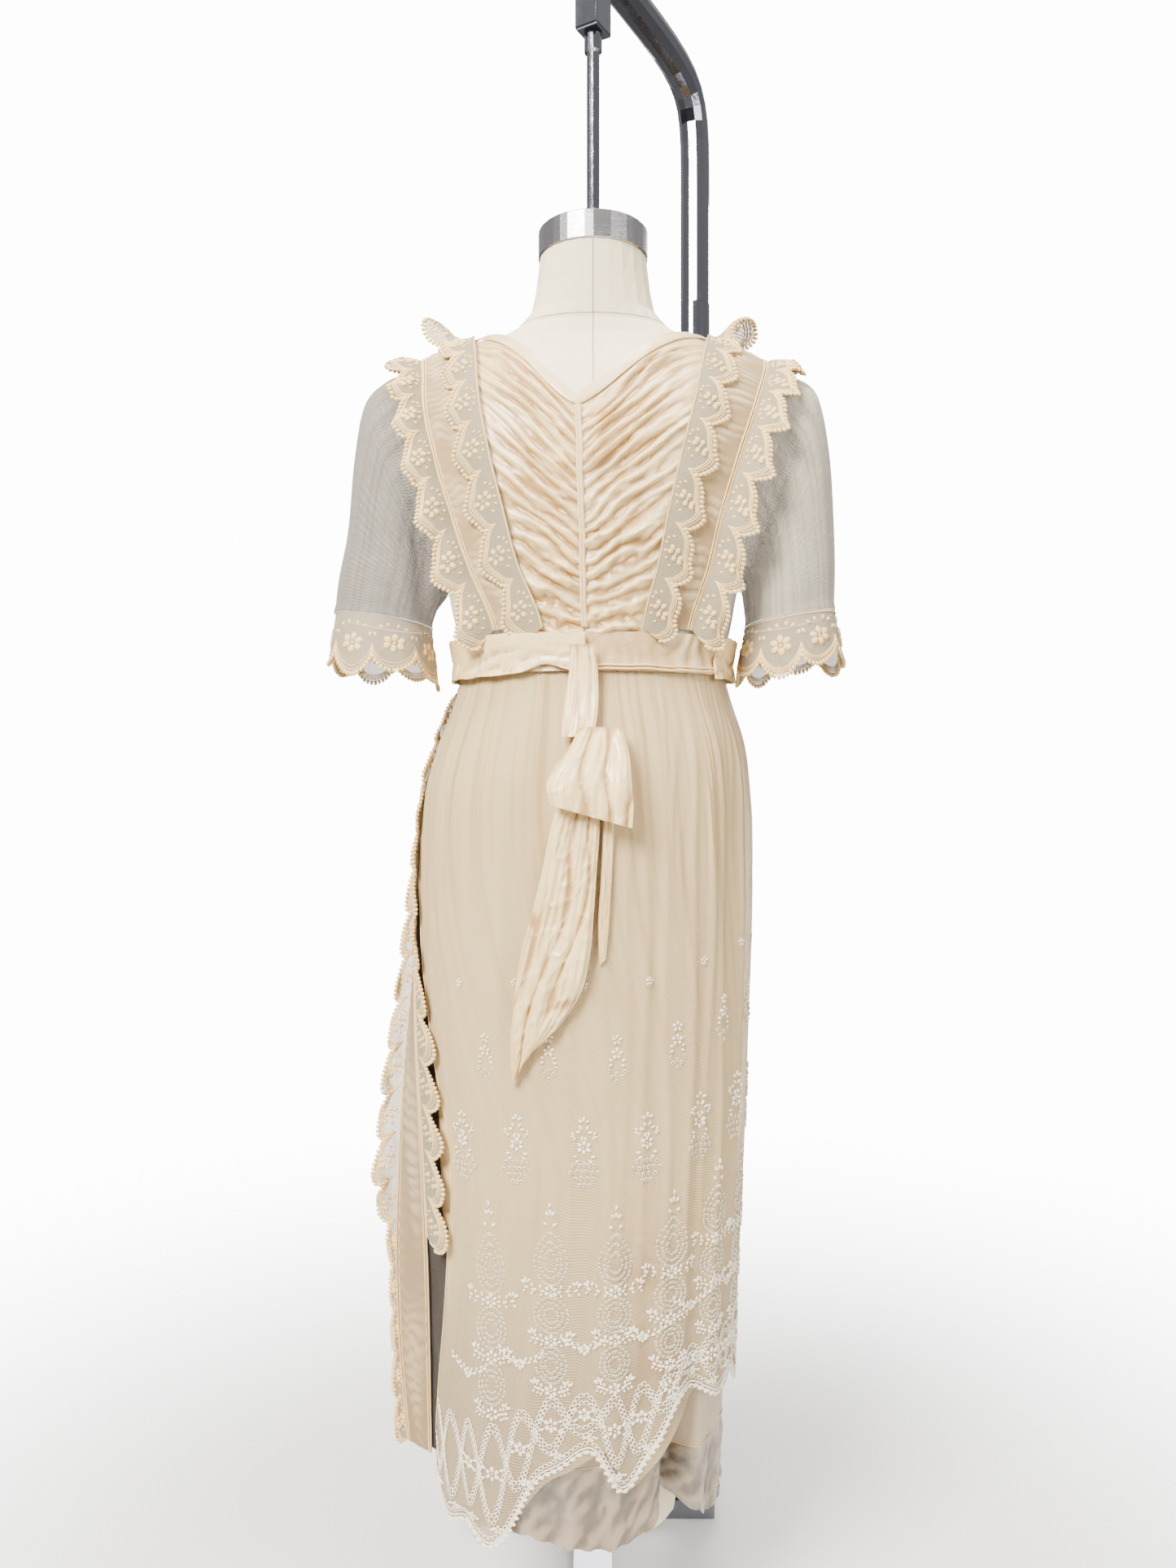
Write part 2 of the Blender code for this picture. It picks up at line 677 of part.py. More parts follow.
def make_hem_band():
    angle, step = np.meshgrid(under_angles(), (0.0, 1.0), indexing="ij")
    hem = HEM.at("z", (angle + 180) % 360 - 180)
    top = HEM_SEAM_Z - SEAM
    z = top + (hem - top) * step
    waver = 0.0015 * np.cos(np.radians(angle * 21)) * step
    points = under_point(angle, z)
    points = points + grid_normals(points[::-1], True)[::-1] * waver[..., None]
    sheet("underskirt_hem_band", "crepe", points[::-1], SATIN, ring=True)


# The net overskirt's hem, by angle, and the edge of its opening on the left, by height.
NET_HEM = Table(
    "angle z",
    (-84, 0.214),
    (-66, 0.196),
    (-55, 0.186),
    (-28, 0.200),
    (-17, 0.262),
    (-2, 0.283),
    (12, 0.252),
    (23, 0.275),
    (36, 0.345),
    (50, 0.326),
    (68, 0.335),
    (90, 0.312),
    (120, 0.282),
    (150, 0.250),
    (180, 0.272),
    (210, 0.246),
    (244, 0.220),
)
NET_EDGE = Table(
    "z angle",
    (0.18, -83),
    (0.25, -76),
    (0.35, -66),
    (0.45, -60),
    (0.60, -55),
    (0.70, -66),
    (0.90, -84),
    (1.05, -88),
    (WAIST_Z, -90),
)
NET_FRONT_EDGE = 244
NET_BACK_EDGE = -80
NET_COLUMNS = 50
GATHER_DEPTH = 0.0022
NET_SCALLOP, NET_SCALLOPS = 0.007, 15


def make_overskirt():
    """The net overskirt, gathered at the waist and open down the left side."""
    share = np.linspace(0, 1, NET_COLUMNS + 1)
    hem_angle = NET_BACK_EDGE + (NET_FRONT_EDGE - NET_BACK_EDGE) * share
    hem = NET_HEM.at("z", hem_angle) + NET_SCALLOP * np.cos(np.radians(NET_SCALLOPS * hem_angle))
    heights = np.stack([np.broadcast_to(z, hem.shape) for z in OVER_ROWS], axis=1)
    low = heights[:, -1:]
    tail = low + (hem[:, None] - low) * np.array([0.55, 1.0])
    z = np.concatenate([heights, tail], axis=1)
    edge = NET_EDGE.at("angle", z)
    angle = edge + (NET_FRONT_EDGE - edge) * share[:, None]
    lift = OVER_WAIST_LIFT + OVER_LIFT * ease(WAIST_Z - z, 0, 0.12)
    lift = lift + OVER_FOOT_LIFT * ease(-z, -0.5, -0.3)
    lift = lift + fold_relief(angle, z, FOLDS) + fold_relief(angle, z, NET_FOLDS)
    below = ease(WAIST_Z - z, 0.0, 0.05) * (1 - ease(WAIST_Z - z, 0.15, 0.45))
    pleat = 0.5 - 0.5 * np.cos(math.pi * np.arange(NET_COLUMNS + 1))[:, None]
    lift = lift + GATHER_DEPTH * pleat * below
    points = skirt(angle, z, lift)
    sheet("overskirt", "net", points[::-1], NET)


# The ruched net panel at the left side: its edges by height, as angle and distance out.
PANEL = Table(
    "z inner_angle inner_lift outer_angle outer_lift",
    (0.235, -76, 0.016, -88, 0.040),
    (0.330, -75, 0.016, -88, 0.047),
    (0.450, -74, 0.016, -88, 0.048),
    (0.550, -75, 0.015, -89, 0.041),
    (0.680, -78, 0.014, -91, 0.028),
    (0.800, -84, 0.012, -97, 0.016),
    (0.950, -91, 0.010, -104, 0.011),
    (1.114, -99, 0.0068, -112, 0.0068),
)
PANEL_WAVES = 16
PANEL_TOP, PANEL_FOOT = 1.114, 0.235
PANEL_CORD, PANEL_WAVE = 0.0016, 0.0022


def panel_edge(edge, z, turn=0.0, lift=0.0):
    angle = PANEL.at(edge + "_angle", z) + turn
    return skirt(angle, z, PANEL.at(edge + "_lift", z) + lift)


def make_panel():
    z = np.linspace(PANEL_TOP, PANEL_FOOT, 2 * PANEL_WAVES + 1)
    inner, outer = panel_edge("inner", z), panel_edge("outer", z)
    share = np.array([0.0, 0.5, 1.0])[None, :, None]
    points = inner[:, None] + (outer - inner)[:, None] * share
    wave = 0.5 - 0.5 * np.cos(math.pi * np.arange(len(z)))
    cord = PANEL_CORD + 0 * wave
    relief = np.stack([cord, PANEL_WAVE * wave, cord], axis=1)
    sheet("skirt_panel", "net", points, NET, relief)


PANEL_LACE = Table(
    "z outer_depth",
    (0.235, 0.016),
    (0.400, 0.010),
    (0.480, 0.014),
    (0.530, 0.030),
    (0.680, 0.030),
    (0.800, 0.024),
    (0.950, 0.020),
    (1.112, 0.016),
)
PANEL_OUTER_SCALLOPS, PANEL_INNER_SCALLOPS = 17, 12
PANEL_INNER_LOW, PANEL_INNER_HIGH = 0.485, 1.110
PANEL_INNER_TURN = 10  # degrees from its edge to its tips
PANEL_LACE_GAP = 0.4


def make_panel_lace():
    depth = scallops(PANEL_OUTER_SCALLOPS)
    z = np.linspace(PANEL_TOP - 0.002, PANEL_FOOT + 0.001, len(depth))
    root = panel_edge("outer", z, turn=-0.2)
    lean = np.stack([0 * z - 1, 0 * z - 0.06, 0 * z - 0.18], axis=1)
    lean /= np.linalg.norm(lean, axis=1, keepdims=True)
    long = PANEL_LACE.at("outer_depth", z) * (0.4 + 0.6 * depth)
    points = np.stack([root, root + lean * long[:, None]], axis=1)
    sheet("panel_lace_outer", "lace", points, LACE)
    depth = scallops(PANEL_INNER_SCALLOPS)
    z = np.linspace(PANEL_INNER_HIGH, PANEL_INNER_LOW, len(depth))
    root = panel_edge("inner", z, turn=PANEL_LACE_GAP)
    tip = panel_edge("inner", z, PANEL_LACE_GAP + PANEL_INNER_TURN * depth, 0.002)
    sheet("panel_lace_inner", "lace", np.stack([tip, root], axis=1), LACE)


# Waist and sash

WAISTBAND_LOW, WAISTBAND_HIGH = 1.1225, 1.1650
WAISTBAND_LIFT = 0.0052
WAIST_WIDTH, WAIST_DEPTH = 0.150, 0.102
SASH_LIFT = 0.0092


def around_waist(angle, z, lift):
    """A point near the waist, over the bodice above the seam and the skirt below it."""
    angle, z = np.broadcast_arrays(np.asarray(angle, float), np.asarray(z, float))
    above = torso(np.radians(angle), row_at(np.maximum(z, WAIST_Z)) - 1)
    point = np.where((z > WAIST_Z)[..., None], above, skirt(angle, z))
    out = point * np.array([1, 1, 0])
    out[..., 0] /= WAIST_WIDTH**2
    out[..., 1] /= WAIST_DEPTH**2
    out /= np.linalg.norm(out, axis=-1, keepdims=True)
    return point + out * np.asarray(lift, float)[..., None]


def make_waistband():
    angle, z = np.meshgrid(
        np.arange(0, 360, 9.0), (WAISTBAND_HIGH, WAISTBAND_LOW), indexing="ij"
    )
    gather = 0.0010 * (0.5 - 0.5 * np.cos(np.radians(angle * 20)))
    points = around_waist(angle, z, WAISTBAND_LIFT + 0 * angle)
    outer = around_waist(angle, z, WAISTBAND_LIFT + SATIN + gather)
    wall("waistband", "satin", points, outer, ring=True)


SASH_START, SASH_END = -3, -302
SASH_LOW, SASH_HIGH = 1.1185, 1.1635
SASH_KNOT_LIFT = 0.003
SASH_PLEATS = (0.0, 0.0020, 0.0004, 0.0016)


def make_sash_wrap():
    """The sash from the centre back round the left and the front to the right side."""
    share = np.linspace(0, 1, 32)
    angle = SASH_START + (SASH_END - SASH_START) * share
    top = SASH_HIGH + 0.0015 * uneven(14 * share, 2)
    lift = SASH_LIFT + SASH_KNOT_LIFT * ease(angle, -30, -5)
    low = around_waist(angle, SASH_LOW + 0 * share, lift)[:, None]
    high = around_waist(angle, top, lift)[:, None]
    up = np.linspace(0, 1, len(SASH_PLEATS))
    pleat = np.array(SASH_PLEATS) * (0.8 + 0.4 * uneven(20 * share, 5))[:, None]
    sheet("sash_wrap", "satin", (low + (high - low) * up[:, None])[::-1], SATIN, pleat[::-1])


def hanging(name, table, columns, relief):
    """A sash piece that hangs on the back of the skirt: its edges and distance out by height."""
    z = table.rows[:, 0]
    left, right = table.at("left", z), table.at("right", z)
    share = np.linspace(0, 1, columns)
    x = left[:, None] + (right - left)[:, None] * share
    drop = table.at("skew", z)[:, None] * (share - 0.5)
    z = z[:, None] + drop
    height = np.clip(z, None, WAIST_Z)
    deep, wide = SKIRT.at("back", height), SKIRT.at("left", height)
    y = -deep * np.sqrt(1 - (x / wide) ** 2) - table.at("lift", table.rows[:, 0])[:, None]
    points = np.stack(np.broadcast_arrays(x, y, z), axis=-1)
    wave = relief * (0.5 - 0.5 * np.cos(math.pi * np.arange(columns)))
    sheet(name, "satin", points.transpose(1, 0, 2), SATIN, wave[:, None] + 0 * z.T)


SASH_DROP = Table(
    "z left right skew lift",
    (1.050, -0.034, 0.000, 0.000, 0.0185),
    (1.075, -0.032, 0.004, 0.000, 0.0175),
    (1.100, -0.029, 0.005, 0.000, 0.0165),
    (1.125, -0.026, 0.004, 0.000, 0.0175),
    (1.150, -0.026, 0.000, 0.000, 0.0195),
)
SASH_LOOP = Table(
    "z left right skew lift",
    (0.966, -0.045, 0.040, -0.024, 0.0330),
    (0.990, -0.049, 0.041, -0.020, 0.0350),
    (1.012, -0.040, 0.039, -0.014, 0.0340),
    (1.035, -0.026, 0.037, -0.006, 0.0280),
    (1.060, -0.014, 0.030, 0.000, 0.0222),
)
SASH_TAIL_LONG = Table(
    "z left right skew lift",
    (0.695, -0.088, -0.070, 0.030, 0.0152),
    (0.735, -0.089, -0.036, 0.020, 0.0162),
    (0.775, -0.085, -0.014, 0.010, 0.0167),
    (0.820, -0.077, -0.004, 0.000, 0.0172),
    (0.865, -0.065, 0.000, 0.000, 0.0172),
    (0.910, -0.054, 0.003, 0.000, 0.0167),
    (0.950, -0.046, 0.006, 0.000, 0.0157),
    (0.990, -0.036, 0.006, 0.000, 0.0157),
    (1.030, -0.030, 0.002, 0.000, 0.0157),
)
SASH_TAIL_SHORT = Table(
    "z left right skew lift",
    (0.812, 0.006, 0.013, 0.006, 0.0098),
    (0.850, 0.0045, 0.016, 0.000, 0.0103),
    (0.900, 0.0075, 0.019, 0.000, 0.0103),
    (0.945, 0.0095, 0.021, 0.000, 0.0108),
    (0.980, 0.0095, 0.022, 0.000, 0.0108),
)


def make_sash_ends():
    hanging("sash_drop", SASH_DROP, 4, 0.0022)
    hanging("sash_loop", SASH_LOOP, 7, 0.0030)
    hanging("sash_tail_long", SASH_TAIL_LONG, 6, 0.0034)
    hanging("sash_tail_short", SASH_TAIL_SHORT, 3, 0.0018)


# Dress form and stand

FORM = Table(
    "z width back front",
    (0.148, 0.074, 0.054, 0.054),
    (0.153, 0.088, 0.065, 0.065),
    (0.162, 0.096, 0.071, 0.071),
    (0.190, 0.100, 0.075, 0.075),
    (0.300, 0.106, 0.079, 0.079),
    (0.450, 0.120, 0.087, 0.087),
    (0.600, 0.138, 0.098, 0.098),
    (0.780, 0.160, 0.112, 0.109),
    (0.930, 0.171, 0.120, 0.114),
    (1.000, 0.166, 0.114, 0.110),
    (1.080, 0.153, 0.101, 0.103),
    (1.136, 0.149, 0.099, 0.104),
    (1.300, 0.166, 0.100, 0.117),
    (1.380, 0.178, 0.096, 0.102),
    (1.430, 0.180, 0.086, 0.084),
    (1.470, 0.166, 0.070, 0.066),
    (1.495, 0.146, 0.056, 0.052),
    (1.5135, 0.121, 0.049, 0.046),
    (1.530, 0.090, 0.047, 0.045),
    (1.548, 0.073, 0.050, 0.048),
    (1.575, 0.067, 0.055, 0.055),
    (1.6115, 0.0625, 0.0625, 0.0625),
)
FORM_SIDES = 24
CAP_LOW, CAP_HIGH, CAP_RADIUS = 1.6118, 1.6445, 0.0640
ROD_RADIUS, COLLAR_RADIUS = 0.0076, 0.0105
COLLAR_LOW, CLAMP_LOW, CLAMP_HIGH = 1.857, 1.879, 2.003
CLAMP_WIDTH, CLAMP_DEPTH = 0.030, 0.036
POLE_X, POLE_Y, POLE_RADIUS = 0.142, 0.246, 0.020
POLE_TOP = 1.660
BASE_THICKNESS = 0.025
BASE_BAR = 0.024
BASE_FRONT, BASE_REACH = 0.240, 0.230


def loft(name, kind, rings):
    """A solid through closed rings of points, with a flat end on the first and the last."""
    built = bmesh.new()
    loops = [[built.verts.new(point) for point in ring] for ring in rings]
    count = len(loops[0])
    for low, high in zip(loops, loops[1:]):
        for i in range(count):
            built.faces.new((low[i], low[(i + 1) % count], high[(i + 1) % count], high[i]))
    built.faces.new(loops[0][::-1])
    built.faces.new(loops[-1])
    bmesh.ops.recalc_face_normals(built, faces=built.faces)
    mesh = bpy.data.meshes.new(name)
    built.to_mesh(mesh)
    built.free()
    mesh.shade_smooth()
    mesh.set_sharp_from_angle(angle=math.radians(40))
    return place(name, mesh, kind)


def make_form():
    """The armless canvas form: shoulders, waist and hips over one tapered column."""
    turn = np.linspace(0, 2 * math.pi, FORM_SIDES, endpoint=False)
    rings = []
    for z, width, back, front in FORM.rows:
        deep = np.where(np.cos(turn) > 0, back, front)
        x, y = width * np.sin(turn), -deep * np.cos(turn)
        rings.append(np.stack([x, y, z + 0 * turn], axis=1).tolist())
    loft("form_body", "canvas", rings)


def turned(name, kind, profile, x=0.0, y=0.0, steps=32):
    """A turned solid from (radius, z) pairs, listed from the top down its outer side."""
    mesh = bpy.data.meshes.new(name)
    points = [(radius, 0, z) for radius, z in profile]
    mesh.from_pydata(points, [(i, i + 1) for i in range(len(points) - 1)], [])
    part = place(name, mesh, kind)
    part.location = (x, y, 0)
    screw = part.modifiers.new("turn", "SCREW")
    screw.axis = "Z"
    screw.steps = screw.render_steps = steps
    screw.use_merge_vertices = True
    screw.merge_threshold = 0.00005
    screw.use_smooth_shade = True
    return part


def make_neck():
    """The chrome neck cap and the rod that the form hangs on, with its collar."""
    edge = 0.0015
    turned("form_neck_cap", "chrome", (
        (0, CAP_HIGH),
        (CAP_RADIUS - edge, CAP_HIGH),
        (CAP_RADIUS, CAP_HIGH - edge),
        (CAP_RADIUS, CAP_LOW + edge),
        (CAP_RADIUS - edge, CAP_LOW),
        (0, CAP_LOW),
    ), steps=40)
    turned("form_rod", "chrome", (
        (0, CLAMP_LOW - SEAM),
        (COLLAR_RADIUS, CLAMP_LOW - SEAM),
        (COLLAR_RADIUS, COLLAR_LOW),
        (ROD_RADIUS, COLLAR_LOW - 0.002),
        (ROD_RADIUS, CAP_HIGH + 0.010),
        (COLLAR_RADIUS, CAP_HIGH + 0.008),
        (COLLAR_RADIUS, CAP_HIGH + SEAM),
        (0, CAP_HIGH + SEAM),
    ), steps=20)


def make_clamp():
    """The block that holds the rod, turned to face along the arm."""
    built = bmesh.new()
    bmesh.ops.create_cube(built, size=1)
    height = CLAMP_HIGH - CLAMP_LOW
    bmesh.ops.scale(built, vec=(CLAMP_WIDTH, CLAMP_DEPTH, height), verts=built.verts)
    mesh = bpy.data.meshes.new("stand_clamp")
    built.to_mesh(mesh)
    built.free()
    clamp = place("stand_clamp", mesh, "chrome")
    clamp.location = (0, 0, (CLAMP_LOW + CLAMP_HIGH) / 2)
    clamp.rotation_euler.z = -math.atan2(POLE_X, POLE_Y)
    bevel = clamp.modifiers.new("edges", "BEVEL")
    bevel.width = 0.0025
    bevel.segments = 2


ARM_STEPS = 12
ARM_END_Z = 1.972


def make_arm():
    """The bent tube from the top of the pole to the clamp."""
    reach = math.hypot(POLE_X, POLE_Y)
    heading = Vector((-POLE_X, -POLE_Y, 0)) / reach
    foot = Vector((POLE_X, POLE_Y, POLE_TOP + SEAM))
    end = Vector((0, 0, ARM_END_Z)) - heading * (CLAMP_DEPTH / 2 + SEAM)
    near = end - heading * 0.015
    bend = Vector((POLE_X, POLE_Y, ARM_END_Z - 0.004))
    start = foot + Vector((0, 0, 0.150))
    path = [foot]
    for step in range(ARM_STEPS):
        t = step / (ARM_STEPS - 1)
        path.append(start * (1 - t) ** 3 + bend * 3 * t * (1 - t) + near * t**3)
    path.append(end)
    curve = bpy.data.curves.new("stand_arm", "CURVE")
    curve.dimensions = "3D"
    curve.bevel_depth = POLE_RADIUS
    curve.bevel_resolution = 4
    curve.use_fill_caps = True
    spline = curve.splines.new("POLY")
    spline.points.add(len(path) - 1)
    for point, where in zip(spline.points, path):
        point.co = (*where, 1)
    return place("stand_arm", curve, "chrome")


def make_base():
    """The flat steel foot, an H under the form, and the pole that stands on it."""
    half, rear = BASE_BAR, POLE_Y
    corners = (
        (-BASE_REACH, -BASE_FRONT - half), (BASE_REACH, -BASE_FRONT - half),
        (BASE_REACH, -BASE_FRONT + half), (half, -BASE_FRONT + half),
        (half, rear - half), (POLE_X + half, rear - half),
        (POLE_X + half, rear + half), (-POLE_X - half, rear + half),
        (-POLE_X - half, rear - half), (-half, rear - half),
        (-half, -BASE_FRONT + half), (-BASE_REACH, -BASE_FRONT + half),
    )
    outline = bpy.data.curves.new("stand_base", "CURVE")
    outline.dimensions = "2D"
    outline.fill_mode = "BOTH"
    outline.extrude = BASE_THICKNESS / 2
    spline = outline.splines.new("POLY")
    spline.points.add(len(corners) - 1)
    for point, (x, y) in zip(spline.points, corners):
        point.co = (x, y, 0, 1)
    spline.use_cyclic_u = True
    base = place("stand_base", outline, "chrome")
    base.location.z = BASE_THICKNESS / 2
    turned("stand_pole", "chrome", (
        (0, POLE_TOP),
        (POLE_RADIUS, POLE_TOP),
        (POLE_RADIUS, BASE_THICKNESS + 0.030),
        (POLE_RADIUS + 0.014, BASE_THICKNESS + 0.012),
        (POLE_RADIUS + 0.014, BASE_THICKNESS + SEAM),
        (0, BASE_THICKNESS + SEAM),
    ), POLE_X, POLE_Y, steps=24)


def make_bodice():
    for side in (LEFT, RIGHT):
        make_back(side)
        make_side(side)
        make_band(side)
        make_band_lace(side, "outer")
        make_band_lace(side, "inner")
        make_sleeve(side)
        make_cuff(side)
    make_front()
    make_binding()
    make_placket()


def make_skirts():
    make_underskirt()
    make_hem_band()
    make_overskirt()
    make_panel()
    make_panel_lace()


def make_sash():
    make_waistband()
    make_sash_wrap()
    make_sash_ends()


def make_stand():
    make_form()
    make_neck()
    make_clamp()
    make_arm()
    make_base()


make_bodice()
make_skirts()
make_sash()
make_stand()
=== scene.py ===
# A wedding dress on its form and stand, seen from the back.
# Metres, +Z up. The back faces -Y and the wearer's left is -X.

import math

import bpy
import numpy as np
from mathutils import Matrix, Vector


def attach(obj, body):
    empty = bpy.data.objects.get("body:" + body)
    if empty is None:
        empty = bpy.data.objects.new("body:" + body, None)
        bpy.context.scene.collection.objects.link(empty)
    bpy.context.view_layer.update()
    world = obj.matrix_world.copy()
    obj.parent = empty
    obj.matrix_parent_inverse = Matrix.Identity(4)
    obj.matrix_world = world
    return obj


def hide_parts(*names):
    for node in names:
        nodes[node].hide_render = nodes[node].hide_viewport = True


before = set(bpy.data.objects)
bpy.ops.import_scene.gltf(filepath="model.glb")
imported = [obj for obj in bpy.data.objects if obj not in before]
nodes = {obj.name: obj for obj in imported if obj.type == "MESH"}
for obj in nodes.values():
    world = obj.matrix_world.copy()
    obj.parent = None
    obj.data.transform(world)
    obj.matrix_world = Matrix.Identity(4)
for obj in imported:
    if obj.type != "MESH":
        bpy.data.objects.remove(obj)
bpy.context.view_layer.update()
left, right = -1, 1
waistZ = 1.136
seamGap = 0.0003
print("frame loaded:", len(nodes), "solids")


# smooth curves through the rows of a short table, read by its first column

class Profile:
    def __init__(self, columns, *rows):
        self.columns = columns.split()
        self.rows = np.array(rows, float)

    def at(self, column, key):
        keys = self.rows[:, 0]
        values = self.rows[:, self.columns.index(column)]
        slopes = np.gradient(values, keys)
        key = np.clip(np.asarray(key, float), keys[0], keys[-1])
        low = np.clip(np.searchsorted(keys, key) - 1, 0, len(keys) - 2)
        step = keys[low + 1] - keys[low]
        t = (key - keys[low]) / step
        rise = values[low + 1] - values[low]
        start = slopes[low] * step - rise
        end = rise - slopes[low + 1] * step
        return values[low] + rise * t + t * (1 - t) * (start * (1 - t) + end * t)

    def keyWhere(self, column, value):
        keys = np.linspace(self.rows[0, 0], self.rows[-1, 0], 400)
        return np.interp(value, self.at(column, keys), keys)


def ease(value, low, high):
    t = np.clip((np.asarray(value, float) - low) / (high - low), 0, 1)
    return t * t * (3 - 2 * t)


def uneven(position, seed):                      # a steady wander between -1 and 1
    return (np.sin(2.3 * position + 1.7 * seed) + np.sin(5.1 * position + 4.1 * seed)) / 2


def crumple(u, v, seed, count=7):                # soft random waves over a surface, about -1 to 1
    dice = np.random.RandomState(seed)
    total = 0.0
    for _ in range(count):
        turn, pitch, shift = dice.uniform(0, math.pi), dice.uniform(0.7, 1.9), dice.uniform(0, 6.3)
        total = total + np.sin(pitch * (u * math.cos(turn) + v * math.sin(turn)) * 6.3 + shift)
    return total / count ** 0.5 / 1.2


def overGrid(first, second):                     # the two values at every place of a grid
    return np.meshgrid(first, second, indexing="ij")


def unit(vectors):
    return vectors / np.maximum(np.linalg.norm(vectors, axis=-1, keepdims=True), 1e-12)


def distances(points):                           # from the first point along a row of them
    return np.concatenate([[0], np.linalg.norm(np.diff(points, axis=0), axis=1).cumsum()])


def rolls(turns, power=1.0):                     # rounded folds, one to a turn, 0 to 1
    return np.abs(np.sin(math.pi * turns)) ** power


def gridNormals(points, ring=False):
    if ring:
        wrapped = np.concatenate([points[-1:], points, points[:1]])
        across = (wrapped[2:] - wrapped[:-2]) / 2
    else:
        across = np.gradient(points, axis=0)
    return unit(np.cross(across, np.gradient(points, axis=1)))


# a closed thin wall between two grids of points, with the cloth's own measure as its UV map

def clothWall(name, inner, outer, uv=None, ring=False, sharp=60):
    across, along = inner.shape[:2]
    spans = across if ring else across - 1
    corners, places = [], []

    def add(faces, *steps):                      # each corner lies on the inner face, 0, or the outer, 1
        corners.append(np.stack([face * across * along + (i % across) * along + j
                                 for face, (i, j) in zip(faces, steps)], axis=1))
        places.append(np.stack([i * along + j for i, j in steps], axis=1))

    i, j = (a.ravel() for a in overGrid(np.arange(spans), np.arange(along - 1)))
    add((1, 1, 1, 1), (i, j), (i + 1, j), (i + 1, j + 1), (i, j + 1))
    add((0, 0, 0, 0), (i, j), (i, j + 1), (i + 1, j + 1), (i + 1, j))
    i, zero = np.arange(spans), np.zeros(spans, int)
    last = zero + along - 1
    add((0, 0, 1, 1), (i, zero), (i + 1, zero), (i + 1, zero), (i, zero))
    add((1, 1, 0, 0), (i, last), (i + 1, last), (i + 1, last), (i, last))
    if not ring:
        j = np.arange(along - 1)
        zero, last = 0 * j, 0 * j + across - 1
        add((0, 0, 1, 1), (zero, j + 1), (zero, j), (zero, j), (zero, j + 1))
        add((0, 0, 1, 1), (last, j), (last, j + 1), (last, j + 1), (last, j))
    faces, places = np.concatenate(corners), np.concatenate(places)
    points = np.concatenate([inner.reshape(-1, 3), outer.reshape(-1, 3)])
    a, b, c, d = (points[faces[:, k]] for k in range(4))
    if (np.cross(b - a, c - a) * a).sum() + (np.cross(c - a, d - a) * a).sum() < 0:
        faces, places = faces[:, ::-1], places[:, ::-1]
    mesh = bpy.data.meshes.new(name)
    mesh.from_pydata(points.tolist(), [], faces.tolist())
    if uv is None:
        uv = clothMeasure(np.concatenate([outer, outer[:1]]) if ring else outer)
    layer = mesh.uv_layers.new(name="cloth")
    layer.data.foreach_set("uv", uv.reshape(-1, 2)[places].astype(np.float32).ravel())
    mesh.shade_smooth()
    mesh.set_sharp_from_angle(angle=math.radians(sharp))
    piece = bpy.data.objects.new(name, mesh)
    bpy.context.scene.collection.objects.link(piece)
    return piece


def clothMeasure(points):                        # metres along the cloth, from its middle lines
    u, v = distances(points[:, points.shape[1] // 2]), distances(points[len(points) // 2])
    return np.stack(overGrid(u, v), axis=-1)


def clothSheet(name, points, thickness, ring=False, inwards=False):
    normals = gridNormals(points, ring) * (-1 if inwards else 1)
    return clothWall(name, points, points + normals * thickness, ring=ring)


def shadeFolds(piece, valley):                   # tells the paints where to paint shade: 0 on the crests to 1 deep in the folds
    both = np.concatenate([valley.ravel()] * 2).astype(np.float32)
    piece.data.attributes.new("fold", "FLOAT", "POINT").data.foreach_set("value", both)


def dress(piece, paint, slotName, *replaced):    # paints a piece and sets it in place of its solids
    piece.data.materials.clear()
    piece.data.materials.append(paint)
    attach(piece, "root")
    if replaced:
        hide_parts(*replaced)


# paints: sums on shader outputs are written as sums

class Wire:
    def __init__(self, paint, socket):
        self.paint, self.socket = paint, socket

    def __add__(self, other):
        return self.paint.maths("ADD", self, other)

    def __sub__(self, other):
        return self.paint.maths("SUBTRACT", self, other)

    def __rsub__(self, other):
        return self.paint.maths("SUBTRACT", other, self)

    def __mul__(self, other):
        return self.paint.maths("MULTIPLY", self, other)


